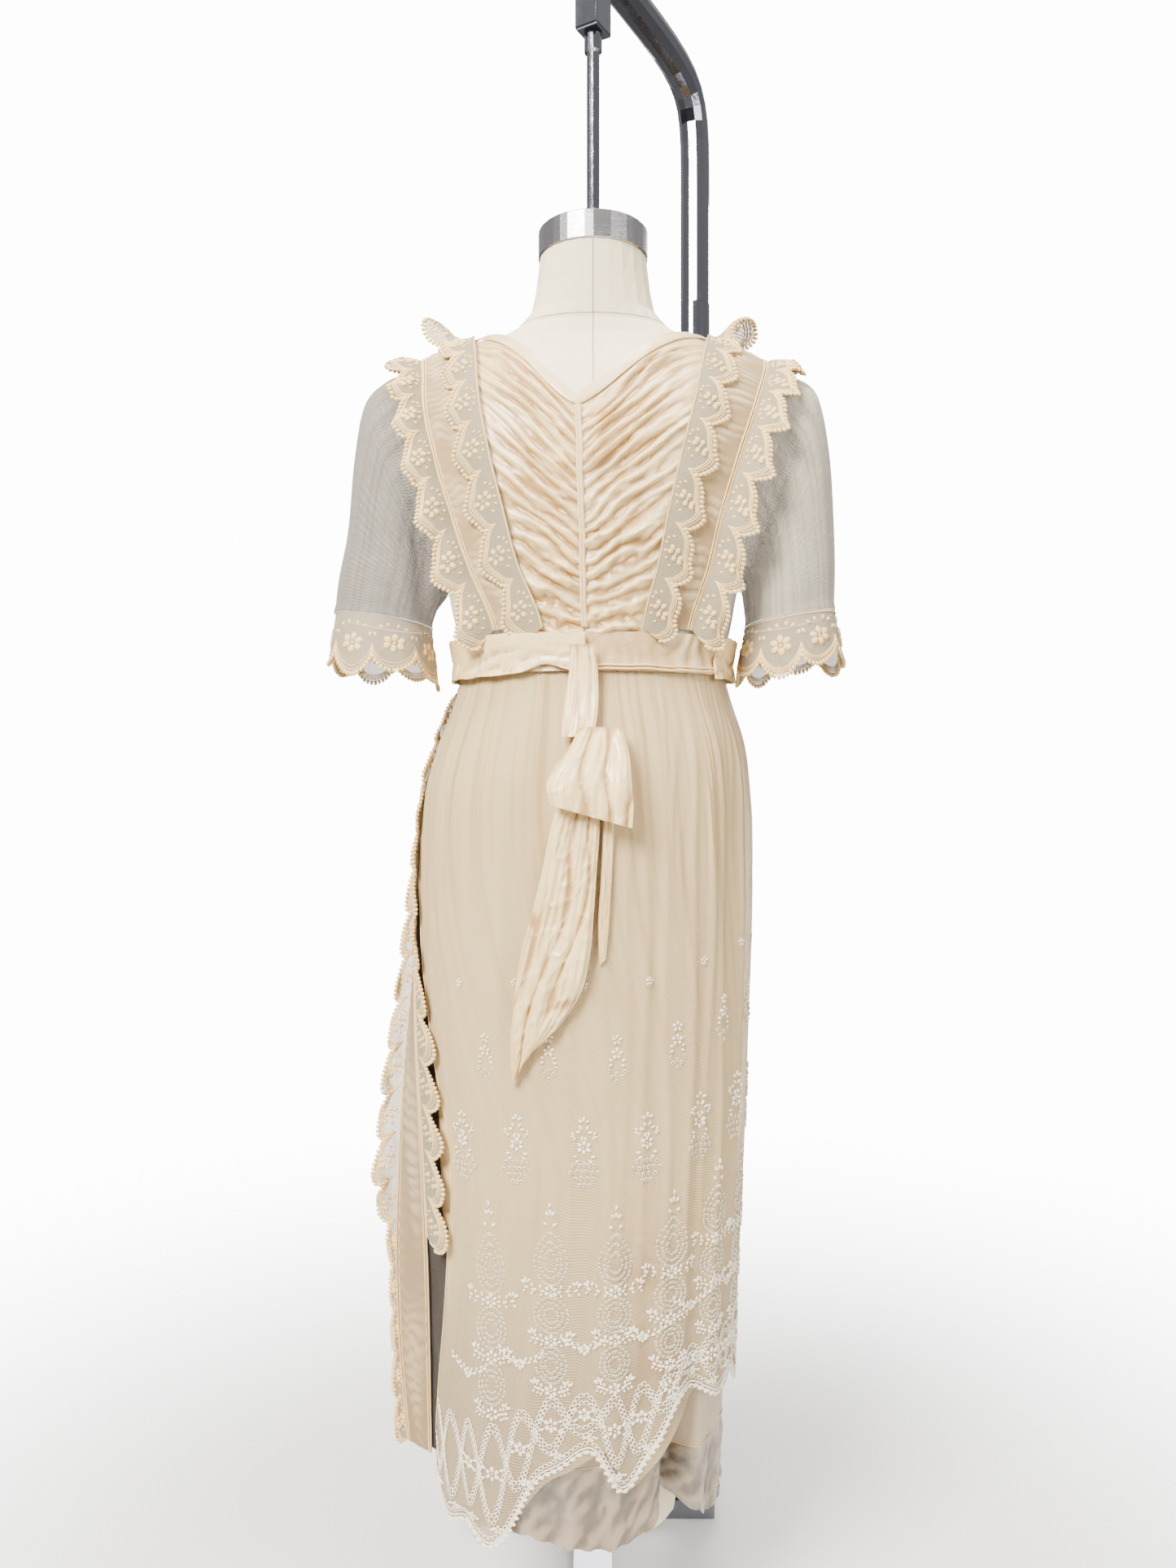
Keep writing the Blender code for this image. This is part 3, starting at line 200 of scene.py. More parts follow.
class Paint:
    def __init__(self, name):
        self.material = bpy.data.materials.new(name)
        self.material.use_nodes = True
        self.tree = self.material.node_tree
        self.tree.nodes.clear()

    def node(self, kind, settings=None, inputs=None, out=0):
        made = self.tree.nodes.new("ShaderNode" + kind)
        for key, value in (settings or {}).items():
            setattr(made, key, value)
        for key, value in (inputs or {}).items():
            if isinstance(value, Wire):
                self.tree.links.new(value.socket, made.inputs[key])
            else:
                made.inputs[key].default_value = value
        return Wire(self, made.outputs[out])

    def maths(self, operation, *values):
        return self.node("Math", {"operation": operation}, dict(enumerate(values)))

    def mix(self, share, first, second):
        colours = [c if isinstance(c, Wire) else (*c, 1) for c in (first, second)]
        return self.node("Mix", {"data_type": "RGBA"}, {0: share, 6: colours[0], 7: colours[1]}, 2)

    def parts(self, vector):
        split = self.node("SeparateXYZ", None, {0: vector})
        return [Wire(self, output) for output in split.socket.node.outputs]

    def place(self):
        return self.node("TexCoord", None, None, "Object")

    def cloth(self):                             # metres along the cloth
        return self.node("UVMap", {"uv_map": "cloth"})

    def scaled(self, vector, x, y, z=1.0):
        return self.node("VectorMath", {"operation": "MULTIPLY"}, {0: vector, 1: (x, y, z)})

    def noise(self, vector, scale, detail=2.0, rough=0.5):
        return self.node("TexNoise", None,
                         {"Vector": vector, "Scale": scale, "Detail": detail, "Roughness": rough})

    def step(self, value, low, high):            # 0 below low, 1 above high
        return self.node("MapRange", {"interpolation_type": "SMOOTHSTEP"},
                         {0: value, 1: low, 2: high, 3: 0.0, 4: 1.0})

    def weave(self, u, v, pitch):                # 0 in the gaps to 1 on the threads of a plain weave
        across = self.maths("SINE", u * (2 * math.pi / pitch))
        along = self.maths("SINE", v * (2 * math.pi / pitch))
        return across * along * 0.5 + 0.5

    def netting(self, u, v, pitch):              # 0 in the holes to 1 on the threads of a net
        one = self.maths("ABSOLUTE", self.maths("SINE", (u + v) * (math.pi / pitch)))
        two = self.maths("ABSOLUTE", self.maths("SINE", (u - v) * (math.pi / pitch)))
        return 1 - self.step(self.maths("MINIMUM", one, two), 0.15, 0.75)

    def finish(self, colour, roughness, height=None, depth=0.0, alpha=None, **fixed):
        inputs = {"Base Color": colour if isinstance(colour, Wire) else (*colour, 1), "Roughness": roughness}
        if height is not None:
            inputs["Normal"] = self.node("Bump", None, {"Height": height, "Distance": depth})
        if alpha is not None:
            inputs["Alpha"] = alpha
        for key, value in fixed.items():
            inputs[key.replace("_", " ")] = value
        shader = self.node("BsdfPrincipled", None, inputs)
        output = self.tree.nodes.new("ShaderNodeOutputMaterial")
        self.tree.links.new(shader.socket, output.inputs[0])
        return self.material


# deep is the colour of the painted shade that the satin takes in its fold valleys
satinLook = {"colour": (0.95, 0.69, 0.31), "aged": (0.84, 0.52, 0.17), "deep": (0.44, 0.225, 0.035),
             "roughness": 0.23, "threads": 0.0006}


def satinPaint(name="ivory satin", look=satinLook):
    paint = Paint(name)
    place, cloth = paint.place(), paint.cloth()
    u, v, _ = paint.parts(cloth)
    cloud = paint.step(paint.noise(place, 9.0, 3.0), 0.42, 0.75)
    spots = paint.step(paint.noise(place, 60.0, 2.0), 0.66, 0.78)
    colour = paint.mix(cloud * 0.22 + spots * 0.10, look["colour"], look["aged"])
    fold = paint.node("Attribute", {"attribute_name": "fold"}, None, 2)
    # painted shade: the deep colour darkens the satin where the fold attribute marks valleys
    colour = paint.mix(fold * 1.25, colour, look["deep"])
    streaks = paint.noise(paint.scaled(cloth, 60, 900), 1.0, 2.0)
    creases = paint.noise(place, 75.0, 3.0, 0.55)
    roughness = streaks * 0.16 + (look["roughness"] - 0.08) + cloud * 0.06
    threads = paint.weave(u, v, look["threads"])
    height = creases * 0.8 + streaks * 0.12 + threads * 0.05
    return paint.finish(colour, roughness, height, 0.0022, Specular_IOR_Level=1.0, Coat_Weight=0.7,
                        Coat_Roughness=0.2)


# a darker, greyer tone that the crepe and the skirt net take towards the foot
footTone = (0.36, 0.275, 0.185)
crepeLook = {"colour": (0.92, 0.69, 0.34), "shade": (0.76, 0.53, 0.24), "roughness": 0.48}


def crepePaint(name="silk crepe", look=crepeLook, shine=0.0, footDarkening=0.0):
    paint = Paint(name)
    place, cloth = paint.place(), paint.cloth()
    u, v, _ = paint.parts(cloth)
    cloud = paint.step(paint.noise(place, 7.0, 3.0), 0.35, 0.75)
    slubs = paint.noise(paint.scaled(cloth, 900, 120), 1.0, 2.0)
    fold = paint.node("Attribute", {"attribute_name": "fold"}, None, 2)
    # the shade colour gives the cloth's random cloudy tone and, where the fold attribute marks valleys,
    # painted shade in the creases
    colour = paint.mix(cloud * 0.40 + slubs * 0.06 + fold * 0.80, look["colour"], look["shade"])
    _, _, z = paint.parts(place)
    # darker towards the foot
    low = (1 - paint.step(z, 0.30, 0.50)) * footDarkening
    colour = paint.mix(low, colour, footTone)
    height = slubs * 0.03 + paint.noise(place, 38.0, 2.0) + paint.weave(u, v, 0.0009) * 0.05
    return paint.finish(colour, slubs * 0.06 + look["roughness"] - 0.03, height, 0.0020,
                        Sheen_Weight=0.2, Specular_IOR_Level=0.5 + shine)


def cottonPaint():
    paint = Paint("white cotton")
    place = paint.place()
    u, v, _ = paint.parts(paint.cloth())
    cloud = paint.noise(place, 14.0, 3.0)
    colour = paint.mix(cloud, (0.80, 0.77, 0.68), (0.70, 0.66, 0.56))
    height = paint.weave(u, v, 0.0011) * 0.3 + paint.noise(place, 80.0, 3.0)
    return paint.finish(colour, cloud * 0.1 + 0.75, height, 0.0010, Sheen_Weight=0.1)


# nets: the threads cover, and the holes let the layer beneath show through

sleeveNetLook = {"colour": (0.29, 0.255, 0.205), "pitch": 0.0030, "thread": 0.86, "hole": 0.55}
bandNetLook = {"colour": (0.80, 0.60, 0.34), "pitch": 0.0026, "thread": 1.0, "hole": 0.88}
skirtNetLook = {"colour": (0.90, 0.68, 0.36), "pitch": 0.0028, "thread": 0.80, "hole": 0.40}
panelNetLook = {"colour": (0.58, 0.42, 0.22), "pitch": 0.0026, "thread": 1.0, "hole": 0.80}
# a near-black net: painted shade for the shadowed gap between the panel and the overskirt's edge
gapShadeNetLook = {"colour": (0.034, 0.022, 0.013), "pitch": 0.0026, "thread": 1.0, "hole": 0.96}
laceNetLook = {"colour": (0.48, 0.39, 0.25), "pitch": 0.0024, "thread": 0.90, "hole": 0.55}


def netPaint(name, look, stains=(), shade=0.25, streaks=0.0, footDarkening=0.0):
    paint = Paint(name)
    place = paint.place()
    u, v, _ = paint.parts(paint.cloth())
    threads = paint.netting(u, v, look["pitch"])
    cloud = paint.step(paint.noise(place, 10.0, 3.0), 0.3, 0.75)
    dark = tuple(c * w for c, w in zip(look["colour"], (0.82, 0.76, 0.66)))
    colour = paint.mix(cloud * shade + (1 - threads) * 0.1, look["colour"], dark)
    # painted shade: the fold attribute darkens the net between its puckers and in its folds
    fold = paint.node("Attribute", {"attribute_name": "fold"}, None, 2)
    colour = paint.mix(fold * 0.9, colour, tuple(c * w for c, w in zip(look["colour"], (0.58, 0.50, 0.40))))
    if streaks:                                  # darker lines along the cloth where gathers overlap: partly the denser net and partly painted shade in the gathers' folds, most near the waist
        _, _, z = paint.parts(place)
        lines = paint.step(paint.noise(paint.scaled(paint.cloth(), 85, 2.0), 1.0, 4.0), 0.42, 0.75)
        deep = tuple(c * w for c, w in zip(look["colour"], (0.62, 0.54, 0.44)))
        colour = paint.mix(lines * (paint.step(z, 0.70, 1.08) * 0.75 + 0.25) * streaks, colour, deep)
        # darker towards the foot
        colour = paint.mix((1 - paint.step(z, 0.24, 0.62)) * footDarkening, colour, footTone)
    for centre, size, strength in stains:
        away = paint.node("VectorMath", {"operation": "DISTANCE"}, {0: place, 1: centre}, 1)
        blotch = paint.noise(place, 45.0, 4.0) * size * 1.4
        colour = paint.mix((1 - paint.step(away + blotch, size * 0.7, size * 1.7)) * strength, colour,
                           (0.42, 0.22, 0.11))
    cover = threads * (look["thread"] - look["hole"]) + look["hole"]
    height = threads * 0.6 + paint.noise(place, 60.0, 2.0) * 0.6
    return paint.finish(colour, 0.8, height, 0.0008, cover, Sheen_Weight=0.15, Specular_IOR_Level=0.3)


def threadPaint(name, colour, dark):
    paint = Paint(name)
    place = paint.place()
    twist = paint.noise(place, 900.0, 2.0)
    cloud = paint.noise(place, 12.0, 2.0)
    shade = paint.mix(cloud * 0.7 + twist * 0.3, colour, dark)
    return paint.finish(shade, 0.62, twist, 0.0005, Sheen_Weight=0.2, Specular_IOR_Level=0.4)


canvasLook = {"neckSeamZ": 1.5335, "seamWander": 0.0012, "weave": 0.0012}


def canvasPaint():
    look = canvasLook
    paint = Paint("form canvas")
    place = paint.place()
    x, _, z = paint.parts(place)
    u, v, _ = paint.parts(paint.cloth())
    cloud = paint.noise(place, 6.0, 3.0)
    slubs = paint.noise(paint.scaled(place, 220, 220, 1200), 1.0, 2.0)
    wander = (paint.noise(place, 20.0) - 0.5) * look["seamWander"]
    seam = 1 - paint.step(paint.maths("ABSOLUTE", x + wander), 0.0003, 0.0012)
    ring = 1 - paint.step(paint.maths("ABSOLUTE", z - look["neckSeamZ"]), 0.0004, 0.0012)
    grime = paint.step(paint.noise(place, 30.0, 4.0), 0.55, 0.8)
    colour = paint.mix(cloud * 0.5 + slubs * 0.2, (0.90, 0.77, 0.54), (0.78, 0.65, 0.43))
    colour = paint.mix(seam * 0.5 + ring * 0.45 + grime * 0.10, colour, (0.36, 0.30, 0.22))
    height = slubs * 0.35 + paint.weave(u, v, look["weave"]) * 0.25 - seam * 1.2 - ring * 1.2 + cloud * 0.3
    return paint.finish(colour, cloud * 0.1 + 0.74, height, 0.0010, Sheen_Weight=0.08, Specular_IOR_Level=0.3)


def steelPaint(name, colour, roughness, grain=(1, 1, 1), marks=0.04):
    paint = Paint(name)
    place = paint.place()
    brush = paint.noise(paint.scaled(place, *grain), 120.0, 3.0)
    smears = paint.step(paint.noise(place, 22.0, 4.0), 0.45, 0.75)
    rough = brush * marks + smears * 0.06 + (roughness - marks / 2)
    shade = paint.mix(smears * 0.2 + brush * 0.1, colour, tuple(c * 0.72 for c in colour))
    return paint.finish(shade, rough, brush, 0.00012, Metallic=1.0)


skirtStains = (((0.058, -0.118, 0.480), 0.055, 0.42), ((0.064, -0.115, 0.370), 0.065, 0.50),
               ((0.045, -0.120, 0.590), 0.022, 0.18), ((0.050, 0.118, 0.480), 0.030, 0.2))

satin = satinPaint()
flatSatin = satinPaint("flat satin", {**satinLook, "colour": (0.84, 0.62, 0.31), "roughness": 0.34})
crepe = crepePaint(footDarkening=0.85)
hemSatin = crepePaint("crepe satin", {"colour": (0.33, 0.238, 0.138), "shade": (0.075, 0.050, 0.027),
                                      "roughness": 0.26}, 0.5)
cotton = cottonPaint()
sleeveNet = netPaint("sleeve net", sleeveNetLook, shade=0.1, streaks=1.0)
# painted light: the sleeve net again in a lighter colour for the right sleeve, standing in for stronger light
# on that side
rightSleeveLitNet = netPaint("sleeve net with painted light", {**sleeveNetLook, "colour": (0.50, 0.44, 0.33)}, shade=0.1,
                       streaks=1.0)
bandNet = netPaint("ruched net", bandNetLook)
skirtNet = netPaint("skirt net", skirtNetLook, skirtStains, streaks=0.9, footDarkening=0.5)
panelNet = netPaint("panel net", panelNetLook)
laceNet = netPaint("lace net", laceNetLook)
gapShadeNet = netPaint("net painted as gap shade", gapShadeNetLook)
creamThread = threadPaint("cream thread", (0.92, 0.67, 0.30), (0.74, 0.49, 0.18))
whiteThread = threadPaint("white thread", (0.97, 0.89, 0.72), (0.88, 0.77, 0.56))
canvas = canvasPaint()
brushedSteel = steelPaint("brushed steel", (0.42, 0.41, 0.42), 0.24, (1, 1, 30), 0.12)
polishedSteel = steelPaint("polished steel", (0.22, 0.225, 0.26), 0.10)
print("paints mixed")


# the photograph's viewpoint, plain soft light and a pale floor

viewLook = {"place": (-0.006, -1.38, 1.0), "lens": 27.03, "sensor": 36.0}
lightLook = {                                    # place, aim, size and power
    "key": ((-1.5, -2.2, 2.9), (0, 0, 1.1), 1.3, 400),
    "fill": ((2.4, -1.9, 1.7), (0, 0, 1.1), 1.4, 70),
    "top": ((0.2, -0.5, 3.6), (0, 0, 1.2), 1.0, 110),
    "back": ((0.6, 2.8, 2.2), (0, 0, 1.1), 1.6, 90),
}


def makeStage():
    camera = bpy.data.objects.new("camera", bpy.data.cameras.new("camera"))
    camera.data.lens, camera.data.sensor_width = viewLook["lens"], viewLook["sensor"]
    camera.location, camera.rotation_euler = viewLook["place"], (math.pi / 2, 0, 0)
    camera.data.clip_start, camera.data.clip_end = 0.02, 60
    bpy.context.scene.collection.objects.link(camera)
    bpy.context.scene.camera = camera
    for name, (place, aim, size, power) in lightLook.items():
        lamp = bpy.data.lights.new(name, "AREA")
        lamp.size, lamp.energy, lamp.color = size, power, (1.0, 0.97, 0.92)
        light = bpy.data.objects.new(name, lamp)
        light.location = place
        light.rotation_euler = (Vector(aim) - Vector(place)).to_track_quat("-Z", "Y").to_euler()
        bpy.context.scene.collection.objects.link(light)
    mesh = bpy.data.meshes.new("floor")
    steps = [(8 * math.cos(a), 8 * math.sin(a), 0) for a in np.linspace(0, 2 * math.pi, 96, endpoint=False)]
    mesh.from_pydata(steps, [], [tuple(range(len(steps)))])
    floor = bpy.data.objects.new("floor", mesh)
    bpy.context.scene.collection.objects.link(floor)
    paint = Paint("pale floor")
    cloud = paint.noise(paint.place(), 3.0, 2.0)
    away = paint.node("VectorMath", {"operation": "LENGTH"}, {0: paint.place()}, 1)
    shade = paint.mix(cloud, (0.90, 0.90, 0.89), (0.86, 0.86, 0.85))
    floor.data.materials.append(paint.finish(shade, 0.7, alpha=1 - paint.step(away, 0.5, 2.2)))


def makeWorld():                                 # white to the camera, a soft room to the cloth and steel
    world = bpy.data.worlds.new("studio")
    bpy.context.scene.world = world
    world.use_nodes = True
    tree = world.node_tree
    tree.nodes.clear()

    def add(kind, **settings):
        made = tree.nodes.new(kind)
        for key, value in settings.items():
            setattr(made, key, value)
        return made

    direction, split = add("ShaderNodeTexCoord"), add("ShaderNodeSeparateXYZ")
    ramp = add("ShaderNodeValToRGB")
    stops = ramp.color_ramp.elements
    for place, shade in ((0.30, 0.40), (0.50, 0.10), (0.58, 0.55)):
        stops.new(place).color = (shade, shade * 0.98, shade * 0.96, 1)
    stops[0].color, stops[-1].color = (0.75, 0.74, 0.73, 1), (1.0, 0.99, 0.97, 1)
    room, white = add("ShaderNodeBackground"), add("ShaderNodeBackground")
    room.inputs["Strength"].default_value = 0.8
    white.inputs["Color"].default_value, white.inputs["Strength"].default_value = (1, 1, 1, 1), 14.0
    rays, mixed, output = add("ShaderNodeLightPath"), add("ShaderNodeMixShader"), add("ShaderNodeOutputWorld")
    shift = add("ShaderNodeMath", operation="MULTIPLY_ADD")
    shift.inputs[1].default_value = shift.inputs[2].default_value = 0.5
    for source, target in (
        (direction.outputs["Generated"], split.inputs[0]), (split.outputs[2], shift.inputs[0]),
        (shift.outputs[0], ramp.inputs[0]), (ramp.outputs[0], room.inputs["Color"]),
        (rays.outputs["Is Camera Ray"], mixed.inputs[0]), (room.outputs[0], mixed.inputs[1]),
        (white.outputs[0], mixed.inputs[2]), (mixed.outputs[0], output.inputs[0]),
    ):
        tree.links.new(source, target)


makeStage()
makeWorld()
print("stage set")


# the bodice's surface, from the waist seam, row 0, to the shoulder ridge, row 1

trunk = Profile(
    "row height slope width back front power",
    (0.00, waistZ + 3 * seamGap, 0.00, 0.150, 0.100, 0.105, 2.0),
    (0.17, 1.220, 0.00, 0.166, 0.106, 0.125, 2.3),
    (0.34, 1.300, 0.00, 0.182, 0.112, 0.130, 2.5),
    (0.51, 1.380, 0.02, 0.196, 0.109, 0.115, 2.6),
    (0.64, 1.440, 0.08, 0.204, 0.096, 0.093, 2.6),
    (0.77, 1.500, 0.20, 0.208, 0.070, 0.065, 2.6),
    (0.86, 1.534, 0.29, 0.210, 0.048, 0.045, 2.6),
    (0.94, 1.557, 0.36, 0.212, 0.022, 0.021, 2.6),
    (1.00, 1.567, 0.39, 0.213, 0.000, 0.000, 2.6),
)
trunkRun = 0.455                                 # from the waist over the cloth to the ridge
bandTable = Profile(                             # how far each edge of a shoulder band lies from the middle
    "row leftOuter leftInner rightOuter rightInner",
    (0.00, 0.100, 0.063, 0.098, 0.060),
    (0.08, 0.107, 0.069, 0.105, 0.066),
    (0.21, 0.133, 0.094, 0.125, 0.082),
    (0.33, 0.152, 0.109, 0.138, 0.093),
    (0.46, 0.170, 0.124, 0.156, 0.107),
    (0.60, 0.184, 0.136, 0.175, 0.122),
    (0.80, 0.190, 0.144, 0.194, 0.137),
    (1.00, 0.197, 0.151, 0.199, 0.148),
)
neck = {"backV": 1.424, "frontV": 1.40, "shoulderX": 0.136, "curve": 1.2, "low": -0.009, "high": -0.017}


def torso(angle, s):                             # s runs from the back waist, -1, to the front waist, 1
    angle, s = np.broadcast_arrays(np.asarray(angle, float), np.asarray(s, float))
    row = 1 - np.abs(s)
    power = 2 / trunk.at("power", row)
    sine, cosine = np.sin(angle), np.cos(angle)
    x = trunk.at("width", row) * np.sign(sine) * np.abs(sine) ** power
    atBack = (s <= 0) == (cosine >= 0)
    y = np.where(atBack, -trunk.at("back", row), trunk.at("front", row)) * np.abs(cosine) ** power
    return np.stack([x, y, trunk.at("height", row) - trunk.at("slope", row) * np.abs(x)], axis=-1)


def torsoNormals(angle, s):
    step = 0.01
    across = torso(angle + step, s) - torso(angle - step, s)
    return unit(np.cross(across, torso(angle, s + step) - torso(angle, s - step)))


def onTorso(angle, s, lift):
    angle, s, lift = np.broadcast_arrays(*(np.asarray(value, float) for value in (angle, s, lift)))
    return torso(angle, s) + torsoNormals(angle, s) * lift[..., None]


def torsoAngle(x, s):
    row = 1 - np.abs(s)
    share = np.clip(np.abs(x) / trunk.at("width", row), 0, 0.9995)
    return np.sign(x) * np.arcsin(share ** (trunk.at("power", row) / 2))


def rowAt(height):
    return trunk.keyWhere("height", height)


def bandEdge(side, edge, s):
    return side * bandTable.at(("left" if side == left else "right") + edge, 1 - np.abs(s))


def bandMiddle(side, s):
    return (bandEdge(side, "Outer", s) + bandEdge(side, "Inner", s)) / 2


def centreBack(row):
    return neck["low"] + (neck["high"] - neck["low"]) * row / rowAt(neck["backV"])


def neckRow(x, middle, height, drop=0.0):
    vRow = rowAt(height)
    reach = np.abs(np.where(x < middle, -neck["shoulderX"], neck["shoulderX"]) - middle)
    share = np.clip(np.abs(x - middle) / reach, 0, 1)
    return np.minimum(vRow + (1 - vRow) * share ** neck["curve"], 1) - drop


def sideName(side):
    return "left" if side == left else "right"


# the satin backs: gathered rolls that slope down to the centre

backLook = {"folds": 18, "depth": 0.0080, "columns": 72, "rows": 210, "cloth": 0.0009, "gap": 0.0004}
bandTuck = 0.0025                                # how far the satin stops short of a band's middle
# how high the rolls stand across each back, from the closing, 0, to the band, 1
backWeight = Profile("across weight", (0.0, 0.40), (0.10, 0.85), (0.25, 1.0), (0.50, 0.9), (0.78, 0.25),
                     (1.0, 0.0))


def makeBack(side):
    look = backLook
    across, up = overGrid(np.linspace(0, 1, look["columns"]), np.linspace(0, 1, look["rows"]))
    topX = centreBack(0.6) + (bandMiddle(side, 0.3) - centreBack(0.6)) * across
    row = up * neckRow(topX, centreBack(0.6), neck["backV"], 0.006)
    s = row - 1
    start = centreBack(row) + side * seamGap
    x = start + (bandMiddle(side, s) - side * bandTuck - start) * across
    angle = torsoAngle(x, s)
    # each roll wanders, splits and dies out on its own
    phase = up * look["folds"] + 0.22 * uneven(2.2 * across + 6 * up, side)
    phase = phase + 0.20 * crumple(across * 1.2, up * 5, 3 + side)
    roll = 1 - np.abs(np.cos(math.pi * phase)) ** 1.6
    split = rolls(2.1 * phase + 1.3 * across + 0.4 * crumple(across * 2, up * 7, 11 + side), 0.8)
    share = 0.5 + 0.5 * np.clip(crumple(across * 1.2, up * 6, 21 + side), -1, 1)
    fine = crumple(across * 4 + up * 3, up * 22, 31 + side)
    fine = fine + 0.9 * (1 - np.abs(crumple(across * 3.4 + up * 5, up * 16, 41 + side, 9))) ** 3
    height = 0.85 + 0.35 * uneven(9 * up + 2 * across, 3 * side)
    relief = roll * (0.62 + 0.30 * share) + 0.30 * split * share + 0.17 * fine
    stitched = np.exp(-((across / 0.025) ** 2))  # pulled in along the closing
    relief = relief * (1 - 0.5 * stitched)
    ends = ease(up, 0.04, 0.10) * (1 - ease(up, 0.90, 0.96))
    lift = look["depth"] * np.clip(relief, 0.02, 1.25) * height * backWeight.at("weight", across) * ends
    inner = onTorso(angle, s, look["gap"])
    piece = clothWall("satin_back_" + sideName(side), inner,
                      onTorso(angle, s, look["cloth"] + look["gap"] + lift))
    # painted shade: darker in the fold valleys, and less of it towards the band
    valley = (1 - ease(relief, 0.04, 0.80)) * ease(lift, 0, 0.0006)
    shadeFolds(piece, valley * (0.35 + 0.65 * ease(-across, -0.95, -0.5)))
    dress(piece, satin, "satin", "bodice_back_" + sideName(side))


for side in (left, right):
    makeBack(side)
print("satin backs made")


# sewing: node trees lay threads along guide lines, and petals, bumps or loops on guide points

class Tree:
    def __init__(self, name, *inputs):
        self.group = bpy.data.node_groups.new(name, "GeometryNodeTree")
        self.group.interface.new_socket("Geometry", in_out="INPUT", socket_type="NodeSocketGeometry")
        self.keys = {}
        for label, kind, value in inputs:
            socket = self.group.interface.new_socket(label, in_out="INPUT", socket_type="NodeSocket" + kind)
            if value is not None:
                socket.default_value = value
            self.keys[label] = socket.identifier
        self.group.interface.new_socket("Geometry", in_out="OUTPUT", socket_type="NodeSocketGeometry")
        self.start = self.group.nodes.new("NodeGroupInput")

    def given(self, label):
        return self.start.outputs[label]

    def node(self, kind, settings=None, inputs=None):
        made = self.group.nodes.new(kind)
        for key, value in (settings or {}).items():
            setattr(made, key, value)
        for key, value in (inputs or {}).items():
            if isinstance(value, bpy.types.NodeSocket):
                self.group.links.new(value, made.inputs[key])
            else:
                made.inputs[key].default_value = value
        return made.outputs[0]

    def finish(self, shape):                     # realised, painted and sent out
        whole = self.node("GeometryNodeRealizeInstances", None, {0: shape})
        smooth = self.node("GeometryNodeSetShadeSmooth", None, {0: whole})
        painted = self.node("GeometryNodeSetMaterial", None, {0: smooth, "Material": self.given("Paint")})
        end = self.group.nodes.new("NodeGroupOutput")
        self.group.links.new(painted, end.inputs[0])
        return self


def threadTree():
    tree = Tree("sewn thread", ("Radius", "Float", 0.0006), ("Stitch", "Float", 0.003),
                ("Pinch", "Float", 0.25), ("Sides", "Int", 4), ("Paint", "Material", None))
    line = tree.node("GeometryNodeMeshToCurve", None, {0: tree.given("Geometry")})
    line = tree.node("GeometryNodeResampleCurve", {"mode": "LENGTH"},
                     {"Curve": line, "Length": tree.given("Stitch")})
    odd = tree.node("ShaderNodeMath", {"operation": "MODULO"},
                    {0: tree.node("GeometryNodeInputIndex"), 1: 2.0})
    thin = tree.node("ShaderNodeMath", {"operation": "MULTIPLY"}, {0: odd, 1: tree.given("Pinch")})
    share = tree.node("ShaderNodeMath", {"operation": "SUBTRACT"}, {0: 1.0, 1: thin})
    line = tree.node("GeometryNodeSetCurveRadius", None, {0: line, "Radius": share})
    ring = tree.node("GeometryNodeCurvePrimitiveCircle", None,
                     {"Resolution": tree.given("Sides"), "Radius": tree.given("Radius")})
    tube = tree.node("GeometryNodeCurveToMesh", None,
                     {"Curve": line, "Profile Curve": ring, "Fill Caps": True})
    return tree.finish(tube)


def beadTree():
    tree = Tree("sewn shapes", ("Loops", "Bool", False), ("Sides", "Int", 7), ("Thread", "Float", 0.28),
                ("Paint", "Material", None))
    bead = tree.node("GeometryNodeMeshUVSphere", None,
                     {"Segments": tree.given("Sides"), "Rings": 4, "Radius": 1.0})
    ring = tree.node("GeometryNodeCurvePrimitiveCircle", None,
                     {"Resolution": tree.given("Sides"), "Radius": 0.8})
    cord = tree.node("GeometryNodeCurvePrimitiveCircle", None,
                     {"Resolution": 3, "Radius": tree.given("Thread")})
    loop = tree.node("GeometryNodeCurveToMesh", None, {"Curve": ring, "Profile Curve": cord})
    shape = tree.node("GeometryNodeSwitch", {"input_type": "GEOMETRY"},
                      {0: tree.given("Loops"), 1: bead, 2: loop})
    named = {key: tree.node("GeometryNodeInputNamedAttribute", {"data_type": "FLOAT_VECTOR"}, {"Name": key})
             for key in ("facing", "along", "size")}
    turn = tree.node("FunctionNodeAxesToRotation", {"primary_axis": "Z", "secondary_axis": "X"},
                     {0: named["facing"], 1: named["along"]})
    placed = tree.node("GeometryNodeInstanceOnPoints", None,
                       {"Points": tree.given("Geometry"), "Instance": shape, "Rotation": turn,
                        "Scale": named["size"]})
    return tree.finish(placed)


threads, beads = threadTree(), beadTree()


def grow(guide, name, tree, values):             # runs a tree on its guide and keeps the plain mesh
    piece = bpy.data.objects.new(name + "_guide", guide)
    bpy.context.scene.collection.objects.link(piece)
    modifier = piece.modifiers.new("sewing", "NODES")
    modifier.node_group = tree.group
    for label, value in values.items():
        modifier[tree.keys[label]] = value
    graph = bpy.context.evaluated_depsgraph_get()
    mesh = bpy.data.meshes.new_from_object(piece.evaluated_get(graph))
    bpy.data.objects.remove(piece, do_unlink=True)
    mesh.materials.clear()
    mesh.materials.append(values["Paint"])
    mesh.polygons.foreach_set("material_index", [0] * len(mesh.polygons))
    made = bpy.data.objects.new(name, mesh)
    bpy.context.scene.collection.objects.link(made)
    return made


